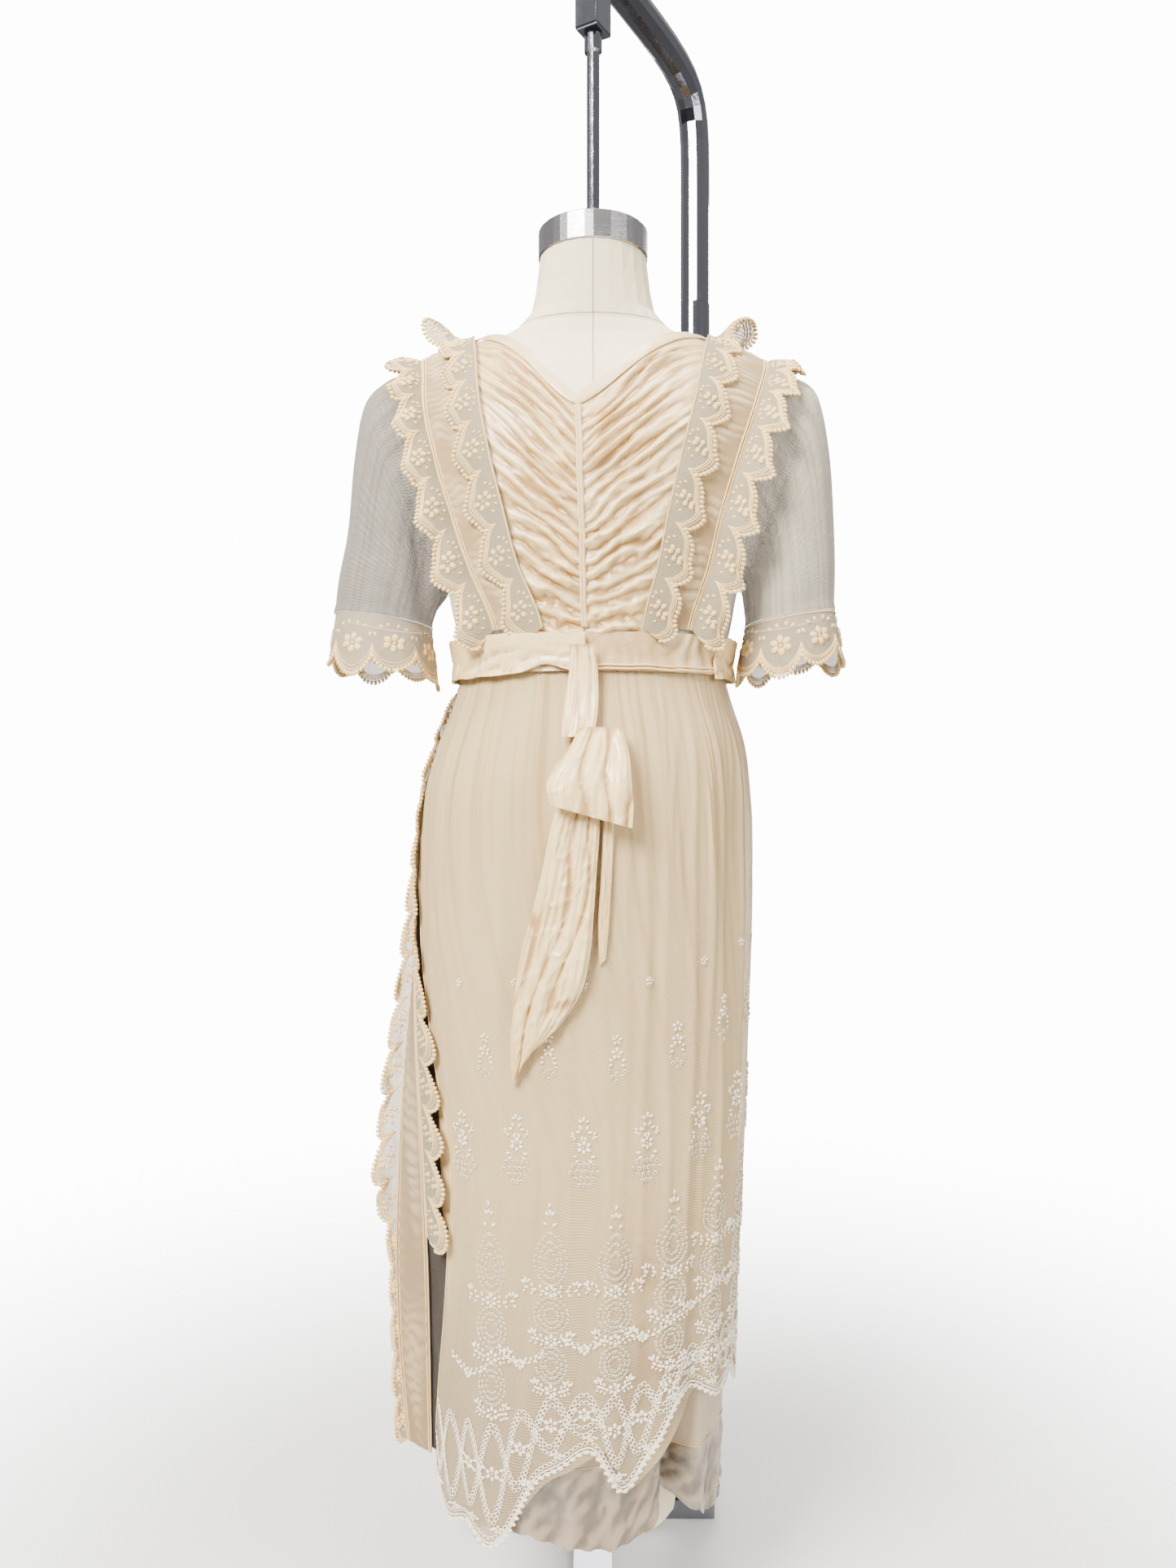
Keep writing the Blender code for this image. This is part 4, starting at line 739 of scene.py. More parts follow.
def sewThreads(name, lines, paint, radius=0.0006, stitch=0.003, pinch=0.25, sides=4):
    points, edges = [], []
    for line in lines:
        first = len(points)
        points.extend(np.asarray(line).tolist())
        edges.extend((first + i, first + i + 1) for i in range(len(line) - 1))
    guide = bpy.data.meshes.new(name)
    guide.from_pydata(points, edges, [])
    return grow(guide, name, threads, {"Radius": radius, "Stitch": stitch, "Pinch": pinch, "Sides": sides,
                                       "Paint": paint})


def sewShapes(name, places, facings, alongs, sizes, paint, loops=False, sides=7):
    guide = bpy.data.meshes.new(name)
    guide.from_pydata(places.tolist(), [], [])
    for key, values in (("facing", facings), ("along", alongs), ("size", sizes)):
        attribute = guide.attributes.new(key, "FLOAT_VECTOR", "POINT")
        attribute.data.foreach_set("vector", np.asarray(values, np.float32).ravel())
    return grow(guide, name, beads, {"Loops": loops, "Sides": sides, "Paint": paint})


def joined(name, *pieces):                       # several pieces as one object
    with bpy.context.temp_override(active_object=pieces[0], selected_editable_objects=list(pieces)):
        bpy.ops.object.join()
    pieces[0].name = name
    return pieces[0]


# the rest of the bodice: front, cotton sides, neck binding, closing and the ruched bands

frontLook = {"columns": 81, "rows": 50, "gathers": 15, "depth": 0.0022, "drape": 0.0011, "cloth": 0.0009,
             "gap": 0.0004}


def makeFront():
    look = frontLook
    across, up = overGrid(np.linspace(-1, 1, look["columns"]), np.linspace(0, 1, look["rows"]))
    reach = np.where(across < 0, -bandMiddle(left, 0.3), bandMiddle(right, 0.3))
    s = 1 - up * neckRow(reach * across, 0, neck["frontV"], 0.006)
    reach = np.where(across < 0, -bandMiddle(left, s), bandMiddle(right, s)) - bandTuck
    angle = torsoAngle(reach * across, s)
    soft = np.abs(np.sin(math.pi * look["gathers"] * across / 2 + 1.2 * crumple(across * 2, up, 5)))
    inside = 1 - ease(np.abs(across), 0.72, 0.95)
    gathers = look["depth"] * soft * (1 - ease(up, 0.15, 0.75)) * inside
    drape = look["drape"] * (crumple(across * 2.4, up * 1.6, 8) + 0.8) * ease(up, 0.1, 0.5)
    drape = drape * (1 - ease(up, 0.9, 0.97)) * inside
    lift = look["cloth"] + look["gap"] + gathers + np.clip(drape, 0, None)
    piece = clothWall("satin_front", onTorso(angle, s, look["gap"]), onTorso(angle, s, lift))
    dress(piece, satin, "satin", "bodice_front")


armhole = {"row": 0.555, "rise": 0.375, "turn": math.radians(26), "lift": 0.0021}
sideLook = {"columns": 49, "rows": 25, "row": 0.60, "wrinkle": 0.0012, "inner": 0.0003, "outer": 0.0011}


def makeSide(side):
    look = sideLook
    across, up = overGrid(np.linspace(0, 1, look["columns"]), np.linspace(0, 1, look["rows"]))
    low = float(torsoAngle(np.abs(bandMiddle(side, -look["row"])), -look["row"]))
    turn = np.abs(2 * across - 1) * (math.pi / 2 - low) / armhole["turn"]
    hollow = 0.96 * armhole["rise"] * np.sqrt(np.clip(1 - turn ** 2, 0, 1))
    row = up * np.where(turn < 1, armhole["row"] - hollow, look["row"])
    s = row - 1
    low = torsoAngle(np.abs(bandMiddle(side, s)) + bandTuck, s)
    angle = side * (low + (math.pi - 2 * low) * across)
    wrinkles = look["wrinkle"] * np.abs(crumple(across * 4 + up, up * 1.2, 40 + side))
    wrinkles = wrinkles * (1 - ease(up, 0.8, 1)) * ease(across, 0, 0.1) * (1 - ease(across, 0.9, 1))
    piece = clothWall("cotton_side_" + sideName(side), onTorso(angle, s, look["inner"]),
                      onTorso(angle, s, look["outer"] + wrinkles))
    dress(piece, cotton, "cotton", "bodice_side_" + sideName(side))


bindingLook = {"steps": 32, "columns": 8, "width": 0.0132, "inner": 0.0030, "outer": 0.0039, "crown": 0.0010,
               "ripple": 0.0005, "roll": 0.0008}


def makeBinding():
    look = bindingLook
    share = np.linspace(0, 1, look["steps"] + 1)[:-1]
    line = []
    for height, back in ((neck["backV"], True), (neck["frontV"], False)):
        middle = neck["high"] if back else 0.0
        for side, outwards in zip((right, left) if back else (left, right), (False, True)):
            for step in share if outwards else 1 - share:
                x = middle + (side * neck["shoulderX"] - middle) * step
                row = float(neckRow(x, middle, height))
                line.append((x, (row - 1 if back else 1 - row) * trunkRun))
    line = np.array(line)
    ahead, behind = np.roll(line, -4, axis=0) - line, line - np.roll(line, 4, axis=0)
    turns = unit(unit(ahead) + unit(behind))
    out = np.stack([-turns[:, 1], turns[:, 0]], axis=1)
    out = -out if (out * line).sum() < 0 else out
    width = np.linspace(0, 1, look["columns"])
    points = line[:, None] + out[:, None] * (look["width"] * width)[None, :, None]
    x, s = points[..., 0], points[..., 1] / trunkRun
    angle = torsoAngle(x, s)
    wave = np.arange(len(line))[:, None]
    arch = np.sin(math.pi * width)
    ripple = look["ripple"] * np.sin(wave * 0.9 + 3 * uneven(wave * 0.2, 2)) * arch
    crown = look["crown"] * arch ** 0.5 + ripple
    edge = look["roll"] * (np.exp(-((width - 0.06) / 0.07) ** 2))
    piece = clothWall("neck_binding_satin", onTorso(angle, s, look["inner"]),
                      onTorso(angle, s, look["outer"] + crown + edge), ring=True)
    dress(piece, flatSatin, "satin", "neck_binding")


closingLook = {"columns": 17, "rows": 120, "footZ": 1.1705, "topGap": 0.030, "reach": 0.0034,
               "wander": 0.0006, "pipe": 0.0019, "inner": 0.0038, "outer": 0.0044}


def makeClosing():                               # two fine pipings side by side, with the hooks hidden
    look = closingLook
    row = np.linspace(rowAt(look["footZ"]), rowAt(neck["backV"]) - look["topGap"], look["rows"])
    across, row = overGrid(np.linspace(-1, 1, look["columns"]), row)
    s = row - 1
    angle = torsoAngle(centreBack(row) + look["reach"] * across + look["wander"] * uneven(row * 12, 4), s)
    pipes = look["pipe"] * (np.exp(-(((across - 0.45) / 0.26) ** 2))
                            + np.exp(-(((across + 0.45) / 0.26) ** 2)))
    pipes = pipes * (1 + 0.1 * np.sin(row * 260))
    piece = clothWall("back_closing", onTorso(angle, s, look["inner"]),
                      onTorso(angle, s, look["outer"] + pipes))
    dress(piece, flatSatin, "satin", "back_placket")


bandLook = {"lift": 0.0045, "cloth": 0.0009, "footZ": 1.1705, "columns": 13, "rows": 380, "puckers": 42,
            "pucker": 0.0026, "crease": 0.0006, "cord": 0.0010, "cordLift": 0.0021}


def makeBand(side):
    look = bandLook
    foot = 1 - rowAt(look["footZ"])
    s, across = overGrid(np.linspace(-foot, foot, look["rows"]), np.linspace(0, 1, look["columns"]))
    innerX, outerX = bandEdge(side, "Inner", s), bandEdge(side, "Outer", s)
    angle = torsoAngle(innerX + (outerX - innerX) * across, s)
    waves = look["puckers"] * (s + foot) + 0.35 * crumple(across * 1.5, s * 5, 50 + side) + 0.3 * across
    inside = np.sin(math.pi * across) ** 0.5
    pucker = look["pucker"] * rolls(waves, 0.8) * (0.6 + 0.5 * crumple(across, s * 6, 55 + side)) * inside
    lift = look["lift"] + look["cloth"] + np.clip(pucker, 0, None)
    lift = lift + look["crease"] * np.abs(crumple(across * 3, s * 18, 60 + side)) * inside
    piece = clothWall("net_band_" + sideName(side), onTorso(angle, s, look["lift"]), onTorso(angle, s, lift))
    # painted shade between the puckers
    shadeFolds(piece, 1 - ease(pucker, 0.1 * look["pucker"], 0.8 * look["pucker"]))
    dress(piece, bandNet, "net", "shoulder_band_" + sideName(side))
    s = np.linspace(-foot, foot, 220)
    lines = []
    for edge, way in (("Inner", 1), ("Outer", -1)):
        for step in (0.0006, 0.0032):
            x = bandEdge(side, edge, s) + side * way * step
            lines.append(onTorso(torsoAngle(x, s), s, look["lift"] + look["cordLift"]))
    cords = sewThreads("band_cords_" + sideName(side), lines, creamThread, look["cord"], 0.0045, 0.08, 6)
    dress(cords, creamThread, "net")


makeFront()
makeBinding()
makeClosing()
for side in (left, right):
    makeSide(side)
    makeBand(side)
print("bodice made")


# lace: scalloped net with a bumped edge, three cords inside it, one at its root and a flower in each scallop
# a field gives the lace's point at u scallops along and v of its full depth

laceLook = {"steps": 18, "rows": 9, "cloth": 0.0006, "bump": 0.0050, "valley": 0.42, "round": 0.56,
            "cord": 0.0009, "bumpSize": (0.0025, 0.0034, 0.0022), "rootCord": (0.035, 0.0007),
            "edgeCords": ((0.0034, 0.0004), (0.0056, 0.0008), (0.0076, 0.0004))}
flowerLook = {
    "petals": 6, "radius": 0.0066, "height": 0.50, "middle": (0.0019, 0.0019, 0.0014),
    "petal": (0.0044, 0.0034, 0.0018), "leaf": (0.0026, 0.0018, 0.0009),
    "sprig": ((-0.011, 0.20, 0.5), (0.011, 0.20, 2.6), (-0.004, 0.16, 1.3), (0.005, 0.15, 1.8),
              (-0.016, 0.34, 1.2), (0.016, 0.34, 1.9)),
}


def fieldFrame(field, u, v, outside):            # point, direction along, direction out and normal
    step = 0.01
    point = field(u, v)
    along = unit(field(u + step, v) - field(u - step, v))
    normal = unit(np.cross(along, field(u, v + step) - field(u, v - step))) * outside
    return point, along, unit(np.cross(normal, along)) * outside, normal


def scallopShare(u, valley):                     # how deep the lace is, as a share of a scallop's middle
    return valley + (1 - valley) * rolls(u, laceLook["round"])


def makeLace(name, field, count, pitch, depth, outside, slotName, node, ring=False,
             valley=laceLook["valley"], flowers=1.0):
    look = laceLook
    steps = count * look["steps"] + (0 if ring else 1)
    u, share = overGrid(np.arange(steps) / look["steps"], np.linspace(0, 1, look["rows"]))
    v = share * scallopShare(u, valley)
    points, _, _, normal = fieldFrame(field, u, v, outside)
    wrapped = np.arange(steps + 1) / look["steps"] if ring else u[:, 0]
    deep = share[:1] * scallopShare(wrapped, valley)[:, None] * depth
    uv = np.stack([wrapped[:, None] * pitch + 0 * share[:1], deep], axis=-1)
    lace = clothWall(name, points - normal * 0.0001, points + normal * look["cloth"], uv, ring)
    # the edge, followed at even spacing for its bumps
    fine = np.linspace(0, count, count * 60 + 1)
    rim = field(fine, scallopShare(fine, valley))
    length = distances(rim)
    spots = np.interp(np.arange(look["bump"] / 2, length[-1], look["bump"]), length, fine)
    place, along, out, facing = fieldFrame(field, spots, scallopShare(spots, valley) + 0.0012 / depth,
                                           outside)
    wobble = 1 + 0.14 * uneven(np.arange(len(spots)) * 1.7, 3)
    places, facings, alongs = [place + facing * 0.0004], [facing], [along]
    sizes = [np.outer(wobble, look["bumpSize"])]
    # petals round a middle, and small ones towards the band
    flower = flowerLook
    motif = [(0, flower["height"], 0, flower["middle"])]
    for k in range(flower["petals"]):
        turn = 2 * math.pi * k / flower["petals"] + 0.4
        x, y = flower["radius"] * math.cos(turn), flower["height"] + flower["radius"] * math.sin(turn) / depth
        motif.append((x, y, turn, flower["petal"]))
    for x, y, turn in flower["sprig"]:
        motif.append((x, y, turn, flower["leaf"]))
    centres = np.arange(count) + 0.5
    for x, y, turn, size in motif:
        place, along, out, facing = fieldFrame(field, centres + x * flowers / pitch, y + 0 * centres, outside)
        places.append(place + facing * 0.0006)
        facings.append(facing)
        alongs.append(along * math.cos(turn) + out * math.sin(turn))
        sizes.append(np.tile(np.array(size) * flowers, (count, 1)))
    rows = (np.concatenate(column) for column in (places, facings, alongs, sizes))
    bumps = sewShapes(name + "_bumps", *rows, creamThread, sides=5)
    lines = []
    for inset, lift in look["edgeCords"]:
        place, _, _, facing = fieldFrame(field, fine, scallopShare(fine, valley) - inset / depth, outside)
        lines.append(place + facing * lift)
    share, lift = look["rootCord"]
    place, _, _, facing = fieldFrame(field, fine, share + 0 * fine, outside)
    lines.append(place + facing * lift)
    cords = sewThreads(name + "_cords", lines, creamThread, look["cord"], 0.0034, 0.3, 4)
    trim = joined(name + "_sewing", bumps, cords)
    dress(lace, laceNet, slotName, node)
    dress(trim, creamThread, slotName)


bandLaceLook = {"scallops": 15, "pitch": 0.055, "footZ": 1.1715, "outerDepth": 0.039, "innerDepth": 0.036,
                "start": 0.015, "reach": 0.021, "over": 0.0086, "flare": 0.036, "flareSpread": 0.032,
                "twist": 0.016, "droop": 0.42}


def laceRun(u, v):                               # along the band, with the tips hanging a little down
    foot = 1 - rowAt(bandLaceLook["footZ"])
    step = 2 * foot / bandLaceLook["scallops"]
    s = step * u - foot
    return s + bandLaceLook["droop"] * step * v * np.clip(s / 0.25, -1, 1)


def outerLaceField(side):
    look = bandLaceLook

    def field(u, v):
        s = laceRun(u, v)
        root = onTorso(torsoAngle(bandEdge(side, "Outer", s) + side * 4 * seamGap, s), s, bandLook["lift"])
        outwards = 0.55 * np.sign(s) * np.sin(math.pi * np.clip(np.abs(s) / 0.9, 0, 1))
        lean = unit(np.stack([0 * s + side, outwards, -0.12 - 0.28 * np.abs(s)], axis=-1))
        facing = unit(np.stack([0 * s, 1.6 * s, 1.2 - np.abs(s)], axis=-1))
        deep = look["outerDepth"] * (1 + 0.12 * uneven(2.4 * u, side)) * v
        curl = 0.0035 * np.sin(math.pi * v) + 0.003 * v * np.sin(2 * math.pi * u + side)
        curl = curl + 0.0022 * v * crumple(u * 0.8, v, 70 + side)
        return root + lean * deep[..., None] + facing * (0.0006 + curl)[..., None]

    return field


def innerLaceField(side):
    look = bandLaceLook

    def field(u, v):
        s = laceRun(u, v)
        deep = (look["start"] + look["reach"]) * v * (1 + 0.10 * uneven(2.4 * u, side))
        twist = look["twist"] * np.sin(math.pi * np.clip(s / 0.06, -1, 1)) * v * np.exp(-((s / 0.05) ** 2))
        x = bandEdge(side, "Inner", s) + side * (deep - look["start"]) + twist
        flare = look["flare"] * np.exp(-((s / look["flareSpread"]) ** 2)) * ease(v, 0.3, 1.0)
        curl = 0.0012 * v * (1 + np.sin(2 * math.pi * u + 2 * side))
        curl = curl + 0.0012 * v * (1 + crumple(u * 0.8, v, 80 + side))
        return onTorso(torsoAngle(x, s), s, look["over"] + flare + curl)

    return field


for side in (left, right):
    scallops, pitch = bandLaceLook["scallops"], bandLaceLook["pitch"]
    makeLace("lace_outer_" + sideName(side), outerLaceField(side), scallops, pitch,
             bandLaceLook["outerDepth"], -side, "lace", "band_lace_outer_" + sideName(side))
    makeLace("lace_inner_" + sideName(side), innerLaceField(side), scallops, pitch,
             bandLaceLook["innerDepth"], -side, "lace", "band_lace_inner_" + sideName(side),
             valley=0.5, flowers=0.9)
print("shoulder lace made")


# sleeves of plain net, gathered into the armhole, with a lace cuff on each

def alongRings(points, count):                   # smooth rows through a few rings
    last = points.shape[1] - 1
    t = np.linspace(0, last, count)
    low = np.minimum(t.astype(int), last - 1)
    before, start = points[:, np.maximum(low - 1, 0)], points[:, low]
    end, after = points[:, low + 1], points[:, np.minimum(low + 2, last)]
    t = (t - low)[None, :, None]
    bend = 2 * before - 5 * start + 4 * end - after + t * (3 * (start - end) + after - before)
    return start + 0.5 * t * (end - before + t * bend)


sleeveTables = {
    left: Profile("ring innerX innerZ outerX outerZ halfDepth",
                  (1, 0.173, 1.229, 0.240, 1.468, 0.053), (2, 0.175, 1.222, 0.266, 1.440, 0.056),
                  (3, 0.177, 1.216, 0.279, 1.375, 0.060), (4, 0.181, 1.208, 0.286, 1.300, 0.064),
                  (5, 0.186, 1.198, 0.294, 1.245, 0.068), (6, 0.190, 1.182, 0.299, 1.197, 0.069)),
    right: Profile("ring innerX innerZ outerX outerZ halfDepth",
                   (1, 0.173, 1.232, 0.248, 1.466, 0.053), (2, 0.175, 1.226, 0.262, 1.440, 0.056),
                   (3, 0.177, 1.220, 0.272, 1.380, 0.060), (4, 0.178, 1.212, 0.277, 1.310, 0.064),
                   (5, 0.179, 1.202, 0.280, 1.250, 0.068), (6, 0.180, 1.184, 0.280, 1.200, 0.069)),
}
sleeveFolds = Profile("angle spread depth", (-140, 22, 0.004), (-95, 18, 0.005), (-50, 20, 0.004),
                      (40, 20, 0.005), (85, 20, 0.004), (135, 22, 0.004))
sleeveLook = {"columns": 96, "rows": 44, "cloth": 0.0004, "gather": 0.0020, "gathers": 26, "pull": 0.0032,
              "hemRise": 0.0012}
cuffLook = {"scallops": 8, "pitch": 0.049, "depth": 0.062, "flare": 0.009, "drop": 0.0009}


def sleeveRings(side, turn):
    look = armhole
    row = look["row"] + look["rise"] * np.cos(turn)
    angle = side * (math.pi / 2 + look["turn"] * np.sin(turn))
    rings = [onTorso(angle, row - 1, look["lift"])]
    for ring, innerX, innerZ, outerX, outerZ, halfDepth in sleeveTables[side].rows:
        relief = 0.0
        for centre, spread, depth in sleeveFolds.rows:
            away = (np.degrees(turn) - centre + 180) % 360 - 180
            relief = relief + depth * ring / 6 * np.exp(-((away / spread) ** 2))
        middle = np.array([side * (innerX + outerX) / 2, 0, (innerZ + outerZ) / 2])
        reach = np.array([side * (outerX - innerX) / 2, 0, (outerZ - innerZ) / 2])
        rings.append(middle + np.outer(np.cos(turn) * (1 + relief / np.linalg.norm(reach)), reach)
                     + np.outer(np.sin(turn) * (halfDepth + relief), (0, 1, 0)))
    return np.stack(rings, axis=1)


def makeSleeve(side):
    look = sleeveLook
    turn = np.linspace(0, 2 * math.pi, look["columns"], endpoint=False)
    points = alongRings(sleeveRings(side, turn), look["rows"])
    turn, down = overGrid(turn, np.linspace(0, 1, look["rows"]))
    top = ease(down, 0.02, 0.10) * (1 - ease(down, 0.12, 0.42))
    gathers = np.sin(look["gathers"] * turn + 1.5 * np.sin(3 * turn)) * top
    wide = np.cos(turn + 1.0) * 1.2
    pulls = np.clip(crumple(wide + 0.6 * down, 0.5 * np.sin(turn) + 0.25 * down, 90 + side, 9), -0.4, 1.2)
    pulls = pulls * ease(down, 0.04, 0.3) * (1 - 0.6 * ease(down, 0.85, 1.0))
    hem = ease(down, 0.955, 0.97)
    lift = look["gather"] * gathers + look["pull"] * pulls + look["hemRise"] * hem
    normals = gridNormals(points, True)
    outwards = 1 if ((points - points.mean(axis=0)) * normals).sum() > 0 else -1
    sleeve = clothSheet("net_sleeve_" + sideName(side), points + normals * outwards * lift[..., None],
                        look["cloth"], ring=True, inwards=outwards < 0)
    # the right sleeve takes the copy of the net painted lighter, as painted light
    dress(sleeve, rightSleeveLitNet if side == right else sleeveNet, "sleeve_net", "sleeve_" + sideName(side))


def cuffField(side):
    look = cuffLook
    turns = np.linspace(0, 2 * math.pi, 721)
    rim = sleeveRings(side, turns)[:, -1]
    middle = rim[:-1].mean(axis=0)

    def field(u, v):
        turn = np.mod(u / look["scallops"], 1) * 2 * math.pi
        root = np.stack([np.interp(turn, turns, rim[:, k]) for k in range(3)], axis=-1)
        out = unit((root - middle) * np.array([1, 1, 0]))
        long = look["depth"] * (1 + 0.1 * np.sin(3 * turn + side))
        curl = 0.0016 * np.sin(2 * math.pi * u) * v + 0.0018 * v * np.sin(2 * turn + 2 * side)
        drop = np.stack([0 * v, 0 * v, look["drop"] + long * v], axis=-1)
        return root + out * (look["flare"] * v + curl + 0.0004)[..., None] - drop

    return field


for side in (left, right):
    makeSleeve(side)
    makeLace("lace_cuff_" + sideName(side), cuffField(side), cuffLook["scallops"], cuffLook["pitch"],
             cuffLook["depth"], -1, "lace", "cuff_lace_" + sideName(side),
             ring=True, valley=0.62, flowers=1.35)
print("sleeves and cuffs made")


# skirts: a crepe underskirt with its hem band, and the net overskirt gathered over it

skirtTable = Profile("z left right back front",
                     (0.15, 0.173, 0.137, 0.110, 0.112), (0.25, 0.175, 0.143, 0.111, 0.112),
                     (0.35, 0.177, 0.149, 0.113, 0.113), (0.45, 0.180, 0.156, 0.115, 0.115),
                     (0.55, 0.185, 0.164, 0.118, 0.117), (0.65, 0.190, 0.170, 0.121, 0.119),
                     (0.75, 0.194, 0.174, 0.125, 0.121), (0.85, 0.195, 0.177, 0.128, 0.123),
                     (0.93, 0.193, 0.177, 0.129, 0.123), (1.00, 0.186, 0.175, 0.125, 0.120),
                     (1.05, 0.172, 0.169, 0.117, 0.115), (1.10, 0.156, 0.156, 0.106, 0.109),
                     (waistZ, 0.150, 0.150, 0.100, 0.105))
hangingFolds = Profile("angle spread depth top", (-172, 10, 0.007, 1.00), (-150, 9, 0.006, 0.90),
                       (-128, 9, 0.008, 0.95), (-104, 9, 0.005, 0.85), (-62, 9, 0.006, 0.85),
                       (-43, 9, 0.007, 0.95), (-24, 9, 0.005, 0.90), (-6, 9, 0.007, 0.85),
                       (12, 9, 0.005, 0.95), (26, 7, 0.006, 0.80), (52, 8, 0.007, 0.90), (72, 9, 0.005, 0.85),
                       (93, 10, 0.007, 0.95), (114, 9, 0.006, 0.85), (137, 10, 0.008, 0.95),
                       (160, 9, 0.005, 0.90))
netFolds = Profile("angle spread depth top",
                   (-34, 7, 0.005, 1.05), (-15, 7, 0.006, 1.00), (4, 7, 0.005, 1.05), (33, 8, 0.008, 1.05),
                   (62, 8, 0.006, 1.00), (84, 8, 0.005, 1.05), (125, 8, 0.006, 1.00), (149, 8, 0.005, 1.05),
                   (186, 9, 0.007, 1.00), (214, 9, 0.006, 1.05))
fineFolds = Profile("angle spread depth top", (-52, 2.4, 0.0024, 1.12), (-45, 2.0, 0.0020, 1.05),
                    (-30, 2.2, 0.0026, 1.12), (-19, 1.8, 0.0018, 1.00), (-8, 2.2, 0.0024, 1.08),
                    (5, 2.0, 0.0022, 1.12), (11, 1.8, 0.0016, 1.00), (17, 2.2, 0.0026, 1.12),
                    (26, 2.0, 0.0024, 1.10), (37, 2.4, 0.0028, 1.12), (44, 1.8, 0.0020, 1.05),
                    (51, 2.2, 0.0024, 1.12), (66, 2.4, 0.0024, 1.10), (79, 2.0, 0.0020, 1.05),
                    (98, 2.4, 0.0026, 1.10), (117, 2.0, 0.0020, 1.05), (131, 2.4, 0.0026, 1.12),
                    (158, 2.2, 0.0022, 1.08), (176, 2.0, 0.0024, 1.12), (201, 2.4, 0.0022, 1.05),
                    (228, 2.2, 0.0024, 1.10))
pleat = {"angle": 39, "spread": 12, "depth": 0.031, "top": 0.60}
underHem = Profile("angle z", (-180, 0.200), (-120, 0.196), (-80, 0.190), (-52, 0.186), (-28, 0.192),
                   (-12, 0.184), (2, 0.180), (16, 0.186), (30, 0.208), (39, 0.220), (48, 0.202), (62, 0.186),
                   (90, 0.190), (130, 0.196), (180, 0.200))
netHem = Profile("angle z", (-84, 0.214), (-66, 0.196), (-55, 0.186), (-28, 0.200), (-17, 0.262), (-2, 0.283),
                 (12, 0.252), (23, 0.275), (36, 0.345), (50, 0.326), (68, 0.335), (90, 0.312), (120, 0.282),
                 (150, 0.250), (180, 0.272), (210, 0.246), (244, 0.220))
netEdge = Profile("z angle", (0.18, -83), (0.25, -76), (0.35, -66), (0.45, -60), (0.60, -55), (0.70, -66),
                  (0.90, -84), (1.05, -88), (waistZ, -90))
skirtLook = {"underColumns": 210, "underRows": 46, "bandRows": 13, "netColumns": 360, "netRows": 84,
             "cloth": 0.0004, "frontEdge": 244, "backEdge": -80, "seamZ": 0.266, "gathers": 118,
             "gather": 0.0016, "scallop": 0.007, "scallops": 15, "hemWave": 0.0030, "hemCrease": 0.0036}


def skirtPoint(angle, z, lift=0.0):
    angle = np.radians(np.asarray(angle, float))
    sine, cosine = np.sin(angle), -np.cos(angle)
    wide = np.where(sine > 0, skirtTable.at("right", z), skirtTable.at("left", z))
    deep = np.where(cosine < 0, skirtTable.at("back", z), skirtTable.at("front", z))
    length = np.hypot(sine / wide, cosine / deep)
    x = wide * sine + lift * sine / wide / length
    y = deep * cosine + lift * cosine / deep / length
    return np.stack(np.broadcast_arrays(x, y, np.asarray(z, float)), axis=-1)


def foldRelief(angle, z, folds, foot=0.20):
    relief = 0.0
    for centre, spread, depth, top in folds.rows:
        away = (angle - centre + 180) % 360 - 180
        relief = relief + depth * ease(top - z, 0, top - foot) * np.exp(-((away / spread) ** 2) * 1.6)
    return relief


def fineRelief(angle, z):                        # narrow creases that wander down from the gathers
    relief = 0.0
    for count, (centre, spread, depth, top) in enumerate(fineFolds.rows):
        away = (angle - centre + 1.6 * uneven(3.2 * z, count) + 180) % 360 - 180
        grown = ease(top - z, 0, 0.10) * (1 - 0.75 * ease(-z, -0.62, -0.28))
        relief = relief + depth * grown * np.exp(-((away / spread) ** 2) * 1.6)
    return relief


def underPoint(angle, z, lift=0.0):
    away = (angle - pleat["angle"] + 180) % 360 - 180
    folded = np.cos(np.clip(away / pleat["spread"], -1, 1) * math.pi / 2) ** 2
    inwards = pleat["depth"] * folded * ease(pleat["top"] - z, 0, pleat["top"] - 0.27)
    return skirtPoint(angle, z, foldRelief(angle, z, hangingFolds) - inwards + lift)


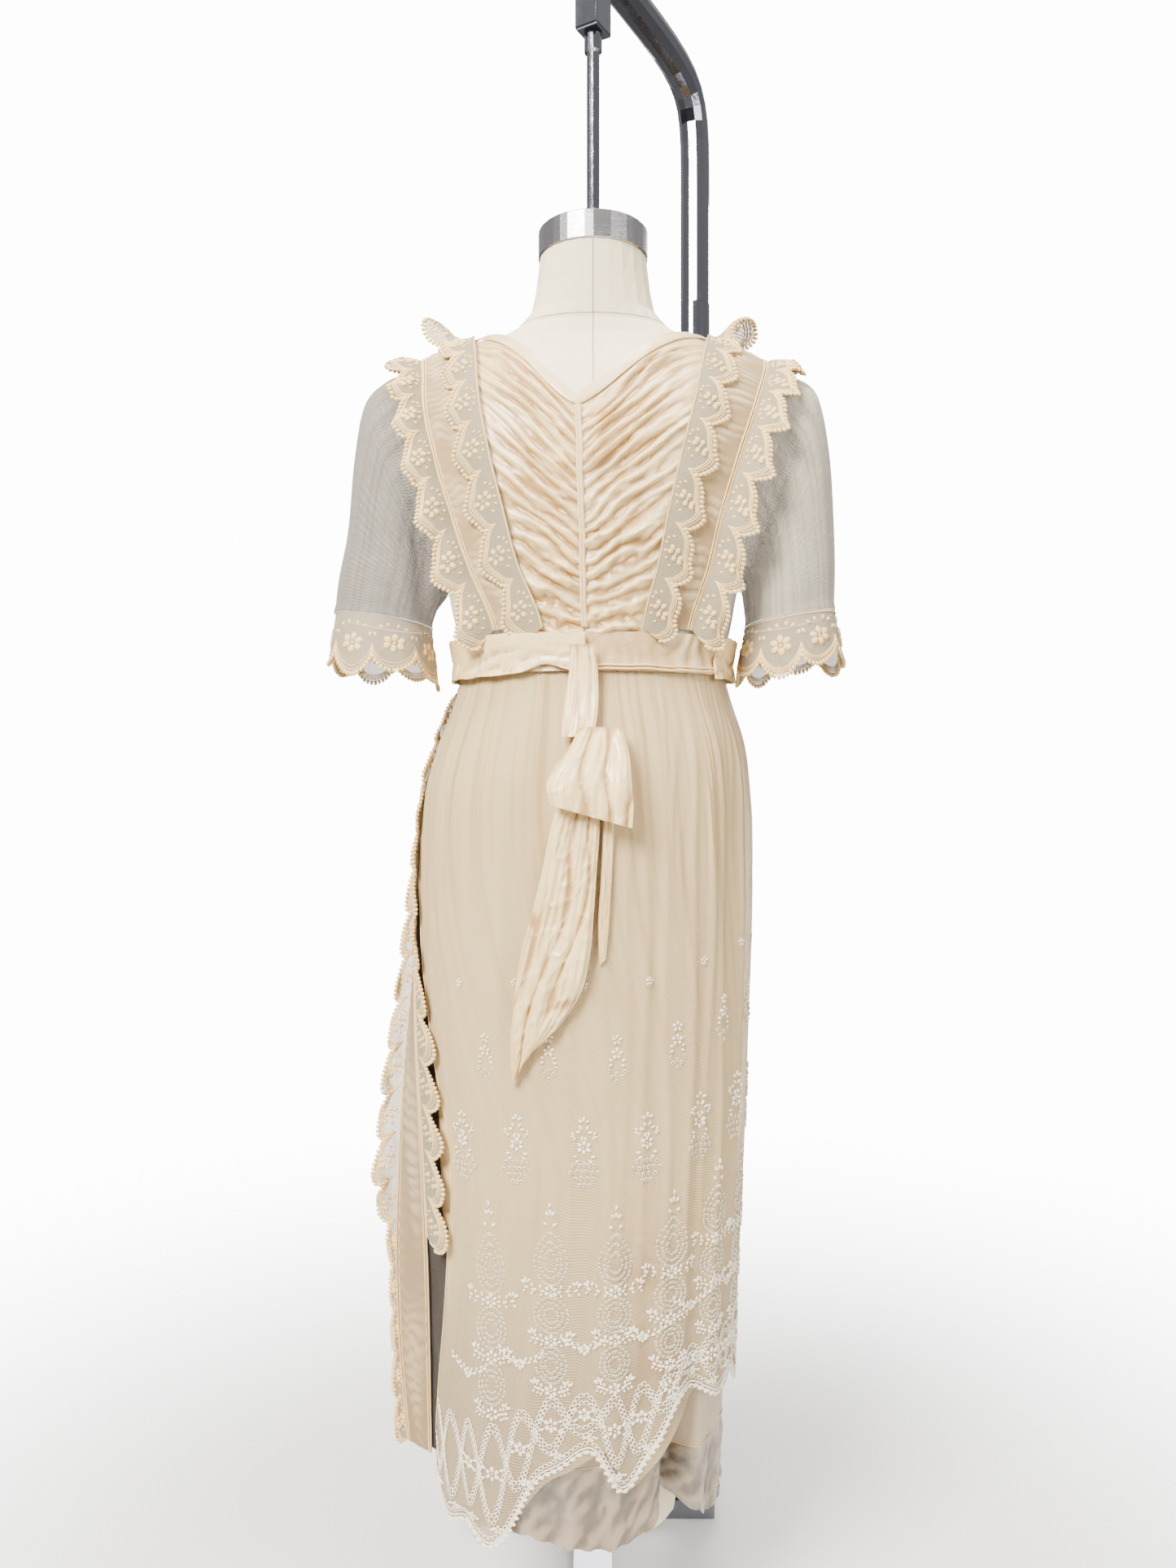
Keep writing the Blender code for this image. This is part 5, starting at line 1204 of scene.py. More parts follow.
def makeUnderskirt():
    look = skirtLook
    wide = np.arange(pleat["angle"] + pleat["spread"], pleat["angle"] - pleat["spread"] + 360,
                     336 / (look["underColumns"] - 30))
    close = np.arange(pleat["angle"] - pleat["spread"], pleat["angle"] + pleat["spread"], 0.8)
    angles = np.concatenate([wide, close])
    angle, z = overGrid(angles, np.linspace(waistZ - 2 * seamGap, look["seamZ"], look["underRows"]))
    crease = 0.0006 * (1 + crumple(angle / 30, z * 2.0, 11))
    skirt = clothWall("crepe_underskirt", underPoint(angle, z), underPoint(angle, z, crease + 0.0003),
                      ring=True)
    dress(skirt, crepe, "crepe", "underskirt")
    angle, down = overGrid(angles, np.linspace(0, 1, look["bandRows"]))
    top = look["seamZ"] - seamGap
    hem = underHem.at("z", (angle + 180) % 360 - 180) - look["hemWave"] * (1 + uneven(angle / 7.0, 4))
    z = top + (hem - top) * down
    creases = crumple(angle / 9 + 1.5 * down, 2.0 * down + angle / 60, 12, 9)
    creases = creases + 0.4 * crumple(angle / 7 - down, 3.2 * down, 13, 9)
    ledge = 0.0012 * (1 - ease(down, 0.0, 0.06)) + 0.0010 * ease(down, 0.93, 1.0)
    lift = look["hemCrease"] * (0.45 + 0.55 * creases) * ease(down, 0.03, 0.3) + ledge
    band = clothWall("crepe_hem_band", underPoint(angle, z, lift - 0.0002),
                     underPoint(angle, z, lift + 0.0006), ring=True)
    # painted shade in the hollows between the creases
    shadeFolds(band, 1 - ease(creases, -0.6, 0.7))
    dress(band, hemSatin, "hem_satin", "underskirt_hem_band")
    ridge = underPoint(angles, look["seamZ"] + 0 * angles, 0.0013 + lift[:, 0] * 0)
    seam = sewThreads("hem_seam", [np.concatenate([ridge, ridge[:1]])], creamThread, 0.0006, 0.0045, 0.2, 4)
    dress(seam, creamThread, "crepe")


def netPoint(angle, z, lift=0.0):                # the overskirt's outer face
    raised = 0.0019 + 0.0046 * ease(waistZ - z, 0, 0.12) + 0.003 * ease(-z, -0.5, -0.3)
    raised = raised + foldRelief(angle, z, hangingFolds) + foldRelief(angle, z, netFolds)
    raised = raised + fineRelief(angle, z)
    below = ease(waistZ - z, 0.0, 0.05) * (1 - ease(waistZ - z, 0.10, 0.42))
    phase = skirtLook["gathers"] * angle / 324 + 0.9 * crumple(angle / 25, z * 2.5, 21)
    gathers = skirtLook["gather"] * below * (0.5 + 0.5 * np.sin(2 * math.pi * phase))
    raised = raised + gathers * (0.7 + 0.5 * crumple(angle / 18, 0.4 * z, 22))
    raised = raised + 0.0011 * crumple(angle / 16, z * 1.3, 23) * ease(waistZ - z, 0.05, 0.3)
    return skirtPoint(angle, z, raised + lift)


def netHemAt(angle):
    return netHem.at("z", angle) + skirtLook["scallop"] * np.cos(np.radians(skirtLook["scallops"] * angle))


def makeOverskirt():
    look = skirtLook
    share, down = overGrid(np.linspace(0, 1, look["netColumns"] + 1), np.linspace(0, 1, look["netRows"]))
    top = waistZ - 2 * seamGap
    hemAngle = look["backEdge"] + (look["frontEdge"] - look["backEdge"]) * share
    z = top + (netHemAt(hemAngle) - top) * (down - 0.04 * np.sin(2 * math.pi * down))
    edge = netEdge.at("angle", z)
    angle = edge + (look["frontEdge"] - edge) * share
    net = clothWall("net_overskirt", netPoint(angle, z, -look["cloth"]), netPoint(angle, z))
    dress(net, skirtNet, "embroidered_net", "overskirt")
    lines = [netPoint(angle[0, 2:], z[0, 2:], 0.0006), netPoint(angle[-1, 2:], z[-1, 2:], 0.0006)]
    hems = sewThreads("net_hems", lines, creamThread, 0.0007, 0.004, 0.2, 4)
    dress(hems, creamThread, "embroidered_net")


makeUnderskirt()
makeOverskirt()
print("skirts made")


# embroidery on the overskirt: dots, sprays, flower pieces, looped pillars and a wavy border over the hem
# motifs are drawn flat in millimetres, x across and y up, then laid on the net

embroideryLook = {"lift": 0.0009, "step": 22.0, "first": -36.0, "columns": 13, "dotZ": 0.785, "sprayZ": 0.702,
                  "flowerZ": 0.600, "pillarZ": 0.548, "edgeLoop": 0.0082, "borderLoop": 0.0056,
                  "borderFoot": 0.020, "borderRoom": 0.026, "borderWave": 0.42, "borderRow": 0.0040,
                  "drop": 0.196, "straightRow": 0.0105, "loopSize": (0.0031, 0.0025),
                  "edgePetal": (0.0043, 0.0027), "hemCords": (0.0012, 0.0052), "garlandRise": 0.052,
                  "smallRise": 0.016, "start": 0.004, "ahead": 0.002}
columnRise = Profile("angle rise foot", (-60, -0.004, 0.312), (-36, 0.000, 0.318), (-14, 0.004, 0.353),
                     (8, 0.002, 0.357), (30, 0.014, 0.376), (52, 0.038, 0.400), (74, 0.044, 0.400),
                     (96, 0.036, 0.385), (118, 0.020, 0.362), (140, 0.004, 0.345), (162, 0.006, 0.345),
                     (184, 0.010, 0.350), (206, 0.002, 0.335), (240, -0.004, 0.320))


class Motif:                                     # petals and loops drawn flat
    def __init__(self):
        self.petals, self.loops = [], []

    def petal(self, x, y, turn, length=6.0, width=3.4):
        self.petals.append((x, y, math.radians(turn), length / 2, width / 2))

    def loop(self, x, y, turn=90, length=4.2, width=3.2):
        self.loops.append((x, y, math.radians(turn), length / 2, width / 2))

    def leaves(self, x, y, turns, reach=5.0, length=6.0, width=3.2):
        for turn in turns:
            a = math.radians(turn)
            self.petal(x + reach * math.cos(a), y + reach * math.sin(a), turn, length, width)

    def flower(self, x, y, size=4.4, petals=5, start=90):
        self.leaves(x, y, [start + k * 360 / petals for k in range(petals)], size, size * 1.25, size * 0.95)
        self.petal(x, y, 0, 2.4, 2.4)

    def arch(self, x, y, wide, high, low, rows, point=1.0):
        for row in range(rows):                  # nested arches of loops, pointed at the top by point
            share = 1 - row / (rows + 0.4)
            count = max(int((wide + high + low) * share / 3.0), 5)
            for k in range(count):
                t = (k + 0.5) / count
                a = math.pi * 2 * t
                sine, cosine = math.sin(a), math.cos(a)
                up = high if cosine > 0 else low
                px = wide / 2 * share * sine * (abs(sine) ** 0.15) * (1 - 0.35 * point * max(cosine, 0) ** 2)
                py = up * share * cosine
                heading = math.degrees(math.atan2(px / max(wide, 1), py / max(high, 1)))
                self.loop(x + px, y + py, 90 - heading + 90)


def sprayMotif():
    motif = Motif()
    motif.leaves(0, 24, (90, 20, 160, 235, 305), 3.6, 5.0, 3.0)
    motif.flower(0, 10, 4.2)
    motif.leaves(0, 0, (200, 340, 155, 25), 7.0, 5.6, 3.2)
    for x, y in ((-8, -9), (8, -9), (-5, -15), (5, -15), (0, -20), (0, -12)):
        motif.loop(x, y, 90, 5.0, 3.8)
    return motif


def flowerMotif():
    motif = Motif()
    motif.leaves(0, 38, (90, 25, 155), 4.2, 6.0, 3.6)
    motif.leaves(0, 27, (60, 120, 10, 170, 250, 290), 6.4, 6.2, 3.6)
    motif.leaves(-9, 25, (140, 200, 260), 3.2, 4.8, 3.0)
    motif.leaves(9, 25, (40, -20, -80), 3.2, 4.8, 3.0)
    motif.flower(0, 12, 5.0, 6)
    motif.leaves(0, 2, (180, 0, 215, 325), 9.0, 6.0, 3.4)
    for row, xs in ((-7, (-11, -5, 0, 5, 11)), (-14, (-14, -8, -2.5, 2.5, 8, 14)), (-21, (-9, -3, 3, 9)),
                    (-28, (-5, 0, 5))):
        for x in xs:
            motif.loop(x, row - 0.06 * abs(x), 90, 5.2, 4.0)
    return motif


def wings(motif, y, reach, size=6.4):            # a flowered crossing with a sprig at each side
    motif.flower(0, y, 4.8, 6)
    for side in (-1, 1):
        for k in range(3):
            x = side * (9 + k * (reach - 9) / 2)
            motif.petal(x, y + 1.4 * k, 90 - side * 70, size, 3.6)
            motif.petal(x + side * 2, y + 1.4 * k + 5, 90 - side * 25, size * 0.9, 3.2)
            motif.petal(x + side * 2, y + 1.4 * k - 4, 90 - side * 130, size * 0.8, 3.0)
        motif.leaves(side * reach, y + 6, (90 - side * 10, 90 - side * 60, 90 + side * 40), 4.4, 6.2, 3.4)


def pillarMotif():                               # about 200 mm tall, from 0 down
    motif = Motif()
    motif.leaves(0, -4, (90,), 3.0, 6.4, 3.6)
    motif.leaves(0, -14, (50, 130, 90), 5.4, 6.6, 3.8)
    motif.leaves(0, -24, (30, 150), 6.0, 6.2, 3.6)
    motif.arch(0, -62, 34, 32, 24, 3)
    wings(motif, -92, 27)
    motif.arch(0, -118, 36, 20, 18, 3, 0.0)
    wings(motif, -144, 20, 5.4)
    motif.arch(0, -170, 32, 20, 18, 3, 0.0)
    wings(motif, -196, 17, 5.4)
    return motif


def layOnNet(angle, z, x, y):                    # places drawn points round the skirt from a motif's place
    spread = np.linalg.norm(skirtPoint(angle + 1, z + 0 * angle) - skirtPoint(angle - 1, z + 0 * angle),
                            axis=-1) / 2
    return angle + x * 0.001 / spread, z + y * 0.001


def netFrame(angle, z, turn):                    # point, facing and heading on the net
    step = 0.4
    point = netPoint(angle, z, embroideryLook["lift"])
    across = unit(netPoint(angle + step, z) - netPoint(angle - step, z))
    up = unit(netPoint(angle, z + 0.002) - netPoint(angle, z - 0.002))
    facing = unit(np.cross(across, up))
    heading = across * np.cos(turn)[:, None] + up * np.sin(turn)[:, None]
    return point, facing, heading


def stitched(drawn, columns):                    # petals or loops of a motif at every place of a table
    rows = np.array([(angle, z, x * wide, y * tall, turn, length, width, angle * 0.7 + k)
                     for angle, z, wide, tall in columns
                     for k, (x, y, turn, length, width) in enumerate(drawn)])
    angle, z, x, y, turn, length, width, number = rows.T
    angle, z = layOnNet(angle, z, x + 0.5 * uneven(number * 2.1, 1), y + 0.5 * uneven(number * 1.3, 2))
    kept = (angle > netEdge.at("angle", z) + 1.5) & (z > netHemAt(angle) + 0.004)
    turn = turn + 0.16 * uneven(number * 1.9, 3)
    size = 0.001 * (1 + 0.12 * uneven(number * 3.1, 4))
    return [column[kept] for column in (angle, z, turn, length * size, width * size)]


def makeEmbroidery():
    look = embroideryLook
    main = look["first"] + look["step"] * np.arange(look["columns"])
    between = main - look["step"] / 2
    between = np.append(between, between[-1] + look["step"])
    petals, loops = [], []

    def sew(motif, places):
        petals.append(stitched(motif.petals, places))
        if motif.loops:
            loops.append(stitched(motif.loops, places))

    sew(sprayMotif(), [(a, look["sprayZ"] + columnRise.at("rise", a), 1, 1) for a in main])
    sew(flowerMotif(), [(a, look["flowerZ"] + 0.8 * columnRise.at("rise", a), 1, 1) for a in between])
    pillars = []
    for a in main:
        top = look["pillarZ"] + columnRise.at("rise", a)
        tall = (top - columnRise.at("foot", a)) / look["drop"]
        pillars.append((a, top, 0.92 if abs(a - 8) > 30 else 1.0, tall))
    sew(pillarMotif(), pillars)
    dot = Motif()
    dot.flower(0, 0, 3.0, 5)
    dot.loop(0, -4.5, 90, 4.0, 3.2)
    sew(dot, [(a, look["dotZ"] + 0.9 * columnRise.at("rise", a), 1, 1) for a in between])
    leafy = Motif()                              # garlands between the pillars
    for side in (-1, 1):
        for k in range(4):
            x, y = side * (6 + 7 * k), -10 + 2.0 * k ** 1.5
            leafy.petal(x, y, 90 - side * 65, 6.6, 3.6)
            leafy.petal(x + side * 2, y + 5, 90 - side * 20, 5.6, 3.2)
    leafy.flower(0, -11, 4.4, 6)
    sew(leafy, [(a, columnRise.at("foot", a) + look["garlandRise"], 0.8, 0.9) for a in between])
    # two looped bands that cross below the pillars, a straight one over the hem, and flowers in the openings
    angle = np.arange(netEdge.rows[0, 1] + 4, skirtLook["frontEdge"] - 1, 0.1)
    foot = columnRise.at("foot", angle)
    hem = netHemAt(angle)
    room = foot - hem - look["borderRoom"]
    bands = []
    for phase in (0, math.pi):
        wave = 0.5 + look["borderWave"] * np.cos(2 * math.pi * (angle - look["first"]) / look["step"] + phase)
        for inset in (-look["borderRow"], look["borderRow"]):
            bands.append(hem + look["borderFoot"] + room * wave + inset)
    bands.append(foot * 0 + hem + look["straightRow"])
    lines = [netPoint(angle, hem + inset, look["lift"]) for inset in look["hemCords"]]
    length, width = look["loopSize"]
    for z in bands:
        run = distances(netPoint(angle, z))
        spots = np.arange(look["start"], run[-1], look["borderLoop"])
        at, height = np.interp(spots, run, angle), np.interp(spots, run, z)
        rise = np.interp(spots + look["ahead"], run, z) - height
        kept = (at > netEdge.at("angle", height) + 1.2) & (height > netHemAt(at) + 0.003)
        turn = np.arctan2(rise, look["ahead"])
        loops.append([column[kept] for column in (at, height, turn, length + 0 * at, width + 0 * at)])
    run = distances(netPoint(angle, hem))
    spots = np.arange(look["start"], run[-1], look["edgeLoop"])
    at = np.interp(spots, run, angle)
    length, width = look["edgePetal"]
    petals.append([at, netHemAt(at) + 0.0004, 0 * at, length + 0 * at, width + 0 * at])
    border = Motif()
    border.flower(0, 0, 5.2, 6)
    border.leaves(0, 0, (30, 150, 210, 330), 11.0, 6.6, 3.6)

    def middle(a):                               # of the opening between the two bands
        low = netHemAt(a)
        return low + look["borderFoot"] + 0.5 * (columnRise.at("foot", a) - low - look["borderRoom"])

    sew(border, [(a, middle(a), 1, 1) for a in main] + [(a, middle(a), 0.9, 0.9) for a in between])
    small = Motif()
    small.flower(0, 0, 3.6, 5)
    small.leaves(0, 0, (0, 180), 8.0, 5.4, 3.0)
    angles = np.arange(-70, 242, look["step"] / 2) + 3
    sew(small, [(a, netHemAt(a) + look["smallRise"], 0.8, 0.8) for a in angles])

    for name, parts, ring, height in (("embroidery_petals", petals, False, 0.0011),
                                      ("embroidery_loops", loops, True, 0.0024)):
        angle, z, turn, length, width = (np.concatenate(column) for column in zip(*parts))
        point, facing, heading = netFrame(angle, z, turn)
        size = np.stack([length, width, height + 0 * length], axis=1)
        stitches = sewShapes(name, point, facing, heading, size, whiteThread, loops=ring,
                             sides=6 if ring else 5)
        dress(stitches, whiteThread, "embroidered_net")
    hems = sewThreads("embroidery_hem", lines, whiteThread, 0.0010, 0.0040, 0.3, 4)
    dress(hems, whiteThread, "embroidered_net")


makeEmbroidery()
print("embroidery made")


# the ruched net panel at the left side, with lace down both its edges

panelTable = Profile("z innerAngle innerLift outerAngle outerLift", (0.235, -76, 0.016, -88, 0.040),
                     (0.330, -75, 0.016, -88, 0.047), (0.450, -74, 0.016, -88, 0.048),
                     (0.550, -75, 0.015, -89, 0.041), (0.680, -78, 0.014, -91, 0.028),
                     (0.800, -84, 0.012, -97, 0.016), (0.950, -91, 0.010, -104, 0.011),
                     (1.114, -99, 0.0068, -112, 0.0068))
panelLaceTable = Profile("z depth", (0.235, 0.016), (0.400, 0.010), (0.480, 0.014), (0.530, 0.030),
                         (0.680, 0.030), (0.800, 0.024), (0.950, 0.020), (1.112, 0.016))
panelLook = {"top": 1.114, "foot": 0.235, "rows": 260, "columns": 13, "cloth": 0.0008, "puckers": 56,
             "pucker": 0.0042, "cord": 0.0009, "outerScallops": 17, "innerScallops": 12, "innerTop": 1.110,
             "innerFoot": 0.485, "turn": 10, "lowTurn": 18, "droop": 0.016, "gap": 0.4, "run": 0.879,
             "pitch": 0.052, "outerDepth": 0.030, "innerDepth": 0.033}
facingLook = {"rows": 90, "columns": 9, "topGap": 0.02, "footGap": 0.004, "tuck": 3, "furthest": -63,
              "sag": 0.004, "cloth": 0.0004}


def panelEdge(edge, z, turn=0.0, lift=0.0):
    return skirtPoint(panelTable.at(edge + "Angle", z) + turn, z, panelTable.at(edge + "Lift", z) + lift)


def outerPanelLace(u, v):
    look = panelLook
    z = look["top"] - 0.002 + (look["foot"] + 0.003 - look["top"]) * u / look["outerScallops"]
    root = panelEdge("outer", z, -0.2)
    long = panelLaceTable.at("depth", z) * v * 1.15
    droop = -0.30 - 0.55 * v
    lean = unit(np.stack([0 * z - 1, 0 * z - 0.06 - 0.25 * crumple(u * 0.5, v, 31), droop], axis=-1))
    return root + lean * long[..., None]


def innerPanelLace(u, v):
    look = panelLook
    high, low = look["innerTop"], look["innerFoot"]
    z = high + (low - high) * u / look["innerScallops"] - look["droop"] * v
    turn = look["turn"] + (look["lowTurn"] - look["turn"]) * (1 - ease(z, 0.70, 0.85))
    lift = 0.0018 * v * (1 + crumple(u * 0.7, v, 32)) + 0.0025 * v * ease(z, 0.7, 0.9)
    return panelEdge("inner", z, look["gap"] + turn * v, lift)


def makePanel():
    look = panelLook
    z, across = overGrid(np.linspace(look["top"], look["foot"], look["rows"]),
                         np.linspace(0, 1, look["columns"]))
    inner, outer = panelEdge("inner", z[:, 0]), panelEdge("outer", z[:, 0])
    points = inner[:, None] + (outer - inner)[:, None] * across[..., None]
    waves = look["puckers"] * (look["top"] - z) / look["run"] + 0.5 * crumple(across * 1.4, z * 7, 33)
    inside = np.sin(math.pi * across) ** 0.5
    relief = look["pucker"] * inside * rolls(waves, 0.8) * (0.6 + 0.5 * crumple(across, z * 6, 34))
    normals = gridNormals(points)
    outwards = 1 if (points * normals)[..., :2].sum() > 0 else -1
    relief = np.clip(look["cloth"] + relief, look["cloth"], None)
    net = clothWall("net_panel", points, points + normals * outwards * relief[..., None])
    # painted shade between the puckers
    shadeFolds(net, 1 - ease(relief, 0.0012, 0.0040))
    dress(net, panelNet, "net", "skirt_panel")
    # a net sheet across the gap from the panel's inner edge to the underskirt, painted near-black as the
    # shade inside that gap
    beside = facingLook
    z = np.linspace(look["top"] - beside["topGap"], look["foot"] + beside["footGap"], beside["rows"])
    z, across = overGrid(z, np.linspace(0, 1, beside["columns"]))
    reach = np.maximum(netEdge.at("angle", z) + beside["tuck"], beside["furthest"])
    root, end = panelEdge("inner", z, -1.6, -0.0012), underPoint(reach, z, 0.0022)
    middle = root + (end - root) * across[..., None]
    sag = beside["sag"] * np.sin(math.pi * across) * (1 + 0.6 * crumple(across, z * 9, 35))
    sagged = middle - unit(middle * np.array([1, 1, 0])) * sag[..., None]
    facing = clothSheet("net_gap_shade", sagged, beside["cloth"])
    dress(facing, gapShadeNet, "net")
    lines = [points[:, k] + normals[:, k] * outwards * 0.0016 for k in (0, 1, -2, -1)]
    cords = sewThreads("panel_cords", lines, creamThread, look["cord"], 0.0045, 0.1, 4)
    dress(cords, creamThread, "net")
    makeLace("lace_panel_outer", outerPanelLace, look["outerScallops"], look["pitch"], look["outerDepth"], -1,
             "lace", "panel_lace_outer", flowers=0.8)
    makeLace("lace_panel_inner", innerPanelLace, look["innerScallops"], look["pitch"], look["innerDepth"], 1,
             "lace", "panel_lace_inner", flowers=0.8)


makePanel()
print("panel made")


# waist and sash: a gathered waistband, the wrapped sash and its pieces that hang at the back

waistLook = {"low": 1.1225, "high": 1.1650, "lift": 0.0052, "width": 0.150, "depth": 0.102, "columns": 300,
             "rows": 10, "gather": 0.0030, "gathers": 52, "cloth": 0.0011}
sashLook = {"start": -3, "end": -302, "low": 1.1185, "high": 1.1635, "lift": 0.0092, "knot": 0.003,
            "columns": 260, "rows": 17, "pleat": 0.0022, "crease": 0.0018, "fold": 0.0034, "drawn": 0.011,
            "cloth": 0.0010, "least": 0.0007}
sashTables = {
    "sash_drop": Profile(
        "z left right skew lift",
        (1.050, -0.034, 0.000, 0.000, 0.0185), (1.075, -0.032, 0.004, 0.000, 0.0175),
        (1.100, -0.029, 0.005, 0.000, 0.0165), (1.125, -0.026, 0.004, 0.000, 0.0175),
        (1.150, -0.026, 0.000, 0.000, 0.0195)),
    "sash_loop": Profile(
        "z left right skew lift",
        (0.966, -0.045, 0.040, -0.024, 0.0330), (0.990, -0.049, 0.041, -0.020, 0.0350),
        (1.012, -0.040, 0.039, -0.014, 0.0340), (1.035, -0.026, 0.037, -0.006, 0.0280),
        (1.060, -0.014, 0.030, 0.000, 0.0222)),
    "sash_tail_long": Profile(
        "z left right skew lift",
        (0.695, -0.088, -0.070, 0.030, 0.0152), (0.735, -0.089, -0.036, 0.020, 0.0162),
        (0.775, -0.085, -0.014, 0.010, 0.0167), (0.820, -0.077, -0.004, 0.000, 0.0172),
        (0.865, -0.065, 0.000, 0.000, 0.0172), (0.910, -0.054, 0.003, 0.000, 0.0167),
        (0.950, -0.046, 0.006, 0.000, 0.0157), (0.990, -0.036, 0.006, 0.000, 0.0157),
        (1.030, -0.030, 0.002, 0.000, 0.0157)),
    "sash_tail_short": Profile(
        "z left right skew lift",
        (0.812, 0.006, 0.013, 0.006, 0.0098), (0.850, 0.0045, 0.016, 0.000, 0.0103),
        (0.900, 0.0075, 0.019, 0.000, 0.0103), (0.945, 0.0095, 0.021, 0.000, 0.0108),
        (0.980, 0.0095, 0.022, 0.000, 0.0108)),
}
# each hanging piece's columns, rows, folds across, their depth, how they fan, creases, flat size and area
sashFolds = {
    "sash_drop": (33, 40, 2.6, 0.0024, 0.3, 0.0012, (0.045, 0.10), 0.0036),
    "sash_loop": (61, 46, 2.9, 0.0066, 0.0, 0.0012, (0.100, 0.12), 0.0080),
    "sash_tail_long": (57, 116, 2.4, 0.0054, 0.9, 0.0017, (0.075, 0.36), 0.0205),
    "sash_tail_short": (17, 60, 1.4, 0.0018, 0.2, 0.0008, (0.016, 0.17), 0.0022),
}
hangingLook = {"least": 0.0008, "hollow": 0.0010, "wall": 0.0002, "top": 0.12, "rim": 0.08}


def aroundWaist(angle, z, lift):
    angle, z = np.broadcast_arrays(np.asarray(angle, float), np.asarray(z, float))
    above = torso(np.radians(angle), rowAt(np.maximum(z, waistZ)) - 1)
    point = np.where((z > waistZ)[..., None], above, skirtPoint(angle, z))
    out = point * np.array([1, 1, 0]) / np.array([waistLook["width"] ** 2, waistLook["depth"] ** 2, 1])
    return point + unit(out) * np.asarray(lift, float)[..., None]


def makeWaistband():
    look = waistLook
    angle, up = overGrid(np.arange(look["columns"]) * 360 / look["columns"], np.linspace(0, 1, look["rows"]))
    z = look["low"] + (look["high"] - look["low"]) * up
    gather = rolls(look["gathers"] * angle / 360 + 0.5 * crumple(angle / 40, up, 41))
    gather = gather * (0.35 + 0.65 * ease(np.abs((angle - 12 + 180) % 360 - 180), 14, 30))
    bulge = look["gather"] * gather * np.sin(math.pi * np.clip(up, 0.05, 0.95)) ** 0.4
    lift = look["lift"] + look["cloth"] + bulge
    piece = clothWall("satin_waistband", aroundWaist(angle, z, look["lift"]), aroundWaist(angle, z, lift),
                      ring=True)
    # painted shade between the gathers
    shadeFolds(piece, 0.55 * (1 - gather))
    dress(piece, flatSatin, "satin", "waistband")
    angles = np.linspace(-8, 100, 150)
    heights = [look["low"] + height + 0.0008 * uneven(angles / 14, 3) for height in (0.0022, 0.0062)]
    lines = [aroundWaist(angles, height, look["lift"] + 0.0030 + 0 * angles) for height in heights]
    cord = sewThreads("waist_cord", lines, creamThread, 0.0013, 0.006, 0.12, 5)
    dress(cord, creamThread, "satin")


def makeSashWrap():
    look = sashLook
    share, up = overGrid(np.linspace(0, 1, look["columns"]), np.linspace(0, 1, look["rows"]))
    angle = look["start"] + (look["end"] - look["start"]) * share
    top = look["high"] + 0.0015 * uneven(14 * share, 2) + 0.0012 * uneven(41 * share, 6)
    low = look["low"] + 0.0012 * uneven(23 * share, 8) + look["drawn"] * np.exp(-(((angle + 19) / 10) ** 2))
    z = low + (top - low) * up
    base = look["lift"] + look["knot"] * ease(angle, -30, -5)
    fold = ease(up, 0.58, 0.66) * (1 - 0.35 * ease(up, 0.86, 1.0))
    lengthwise = rolls(2.1 * up + 7 * share + 0.5 * crumple(share * 9, up * 0.5, 42), 0.8)
    gathers = rolls(44 * share + 0.9 * up + 1.2 * crumple(share * 12, up, 43), 0.8)
    creased = look["pleat"] * lengthwise + look["crease"] * gathers
    relief = look["cloth"] + look["fold"] * fold + (1 - fold) * creased
    outer = base + np.clip(relief, look["least"], None)
    piece = clothWall("satin_sash_wrap", aroundWaist(angle, z, base), aroundWaist(angle, z, outer))
    # painted shade in the hollows between the creases and folds
    shadeFolds(piece, 0.75 * (1 - ease(relief, 0.0012, 0.0034)))
    dress(piece, satin, "satin", "sash_wrap")


def hangingPoint(name, across, down):            # down 0 at the top, 1 at the foot
    table = sashTables[name]
    high, low = table.rows[-1, 0], table.rows[0, 0]
    key = high + (low - high) * down
    x = table.at("left", key) + (table.at("right", key) - table.at("left", key)) * across
    z = key + table.at("skew", key) * (across - 0.5)
    height = np.minimum(z, waistZ)
    deep, wide = skirtTable.at("back", height), skirtTable.at("left", height)
    y = -deep * np.sqrt(1 - (x / wide) ** 2) - table.at("lift", key)
    return np.stack([x, y, z], axis=-1)


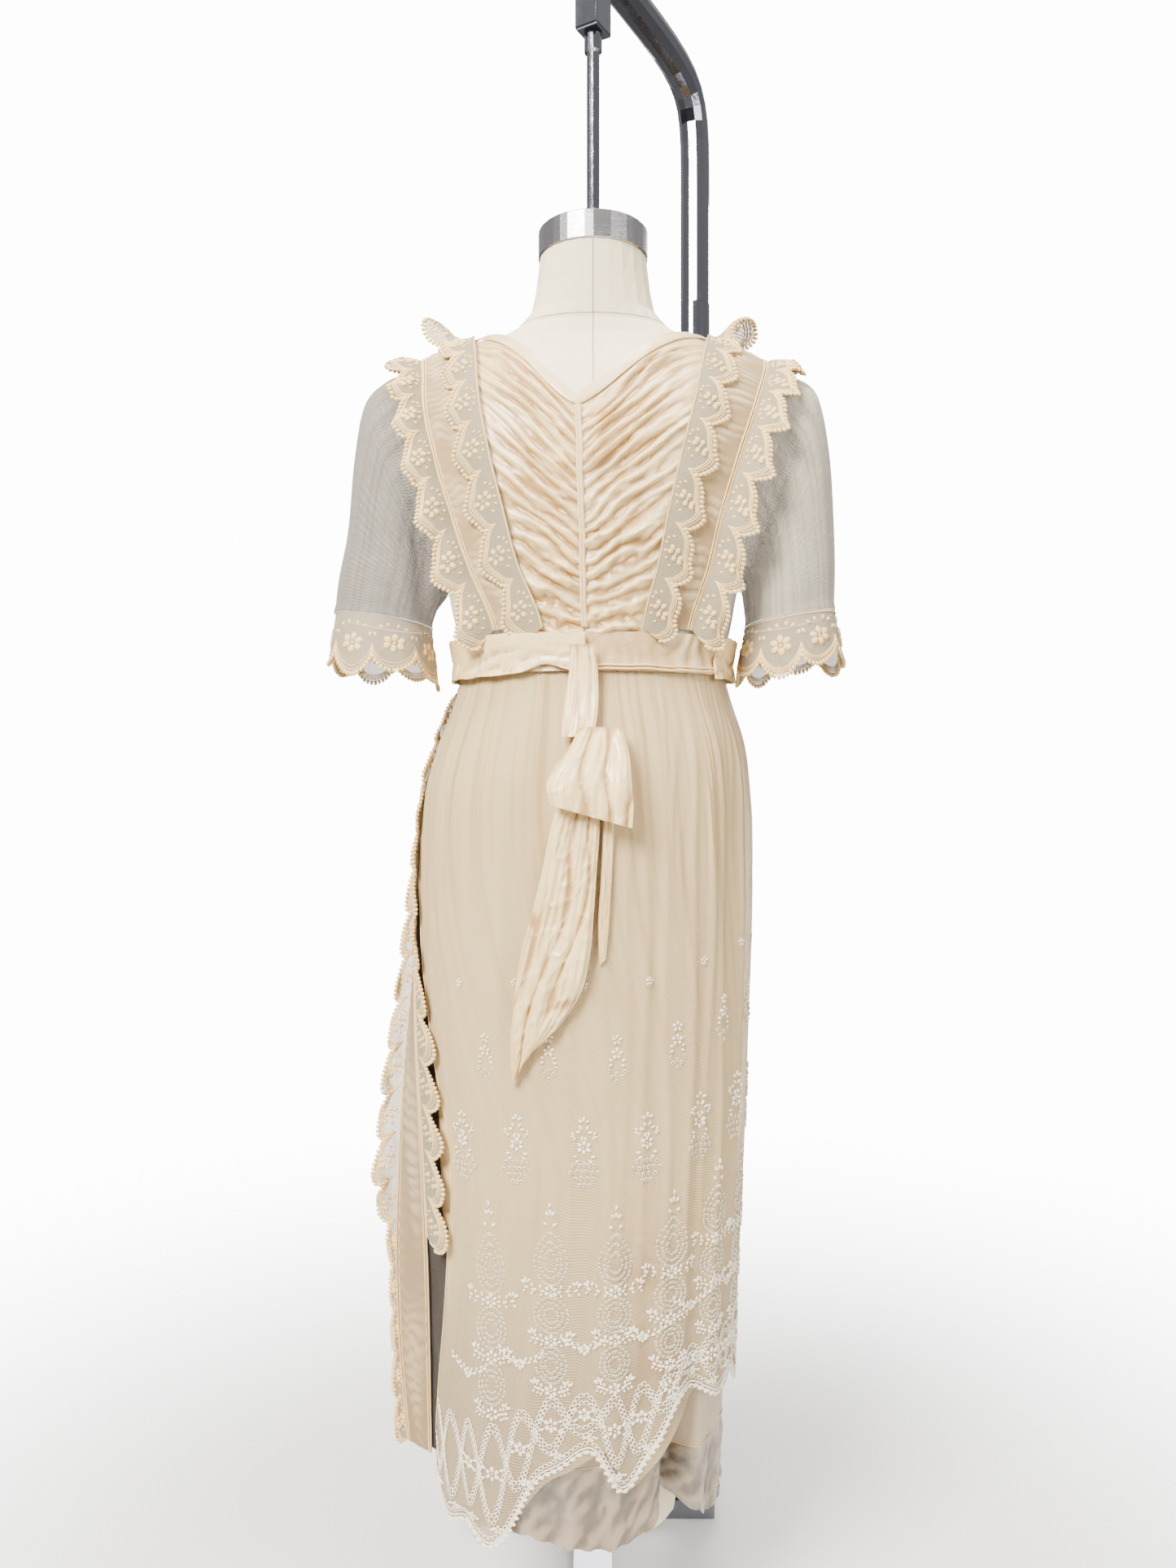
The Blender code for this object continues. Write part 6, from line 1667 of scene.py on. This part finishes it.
def makeHanging(name, seed):
    look = hangingLook
    columns, rows, folds, depth, fan, crease, flat, area = sashFolds[name]
    across, down = overGrid(np.linspace(0, 1, columns), np.linspace(0, 1, rows))
    points = hangingPoint(name, across, down)
    long = down * flat[1] / 0.10
    wander = crumple(across * 0.7, long * 0.5, seed)
    folded = rolls(folds * across + 0.35 * wander + fan * 0.3 * (down - 0.5), 0.75)
    narrow = rolls(folds * 2.3 * across + 0.55 * crumple(across * 1.1, long * 0.6, seed + 1), 0.8)
    slant = 1 - np.abs(crumple(across * 2.2 + 1.1 * long, long * 0.9 - 0.9 * across, seed + 2, 9))
    fine = crumple(across * 6.0 + 0.4 * long, long * 1.1, seed + 3, 13)
    relief = depth * folded * (0.85 + 0.22 * wander) + crease * (0.5 * narrow + 0.6 * fine)
    relief = relief + 1.2 * crease * np.clip(slant, 0, None) ** 6 * ease(long, 0.4, 1.2)
    relief = np.clip(relief, look["least"], None) * (0.35 + 0.65 * ease(down, 0.0, look["top"]))
    edge = np.minimum(across, 1 - across)
    lift = np.clip(relief * (0.4 + 0.6 * ease(edge, 0, look["rim"])), look["least"], None)
    out = np.array([0, -1, 0])
    hollow = np.clip(lift - look["hollow"], 0, None) * ease(edge, 0, look["rim"] / 2)
    outer = points + out * lift[..., None] + out * look["wall"]
    piece = clothWall("satin_" + name, points + out * hollow[..., None], outer, sharp=45)
    # painted shade in the hollows between the folds
    shadeFolds(piece, 0.75 * (1 - ease(relief, 0.15 * depth, 0.75 * depth)))
    dress(piece, satin, "satin", name)
    "draped" if name == "sash_loop" else "hung"


makeWaistband()
makeSashWrap()
for seed, name in enumerate(sashTables):
    makeHanging(name, 50 + 4 * seed)
print("sash made")


# form and stand: their solids keep their shape and get their paint

for name, paint in (("form_body", canvas), ("form_neck_cap", brushedSteel), ("form_rod", polishedSteel),
                    ("stand_clamp", polishedSteel), ("stand_arm", polishedSteel),
                    ("stand_pole", polishedSteel), ("stand_base", polishedSteel)):
    for place in nodes[name].material_slots:
        place.material = paint
print("form and stand painted")
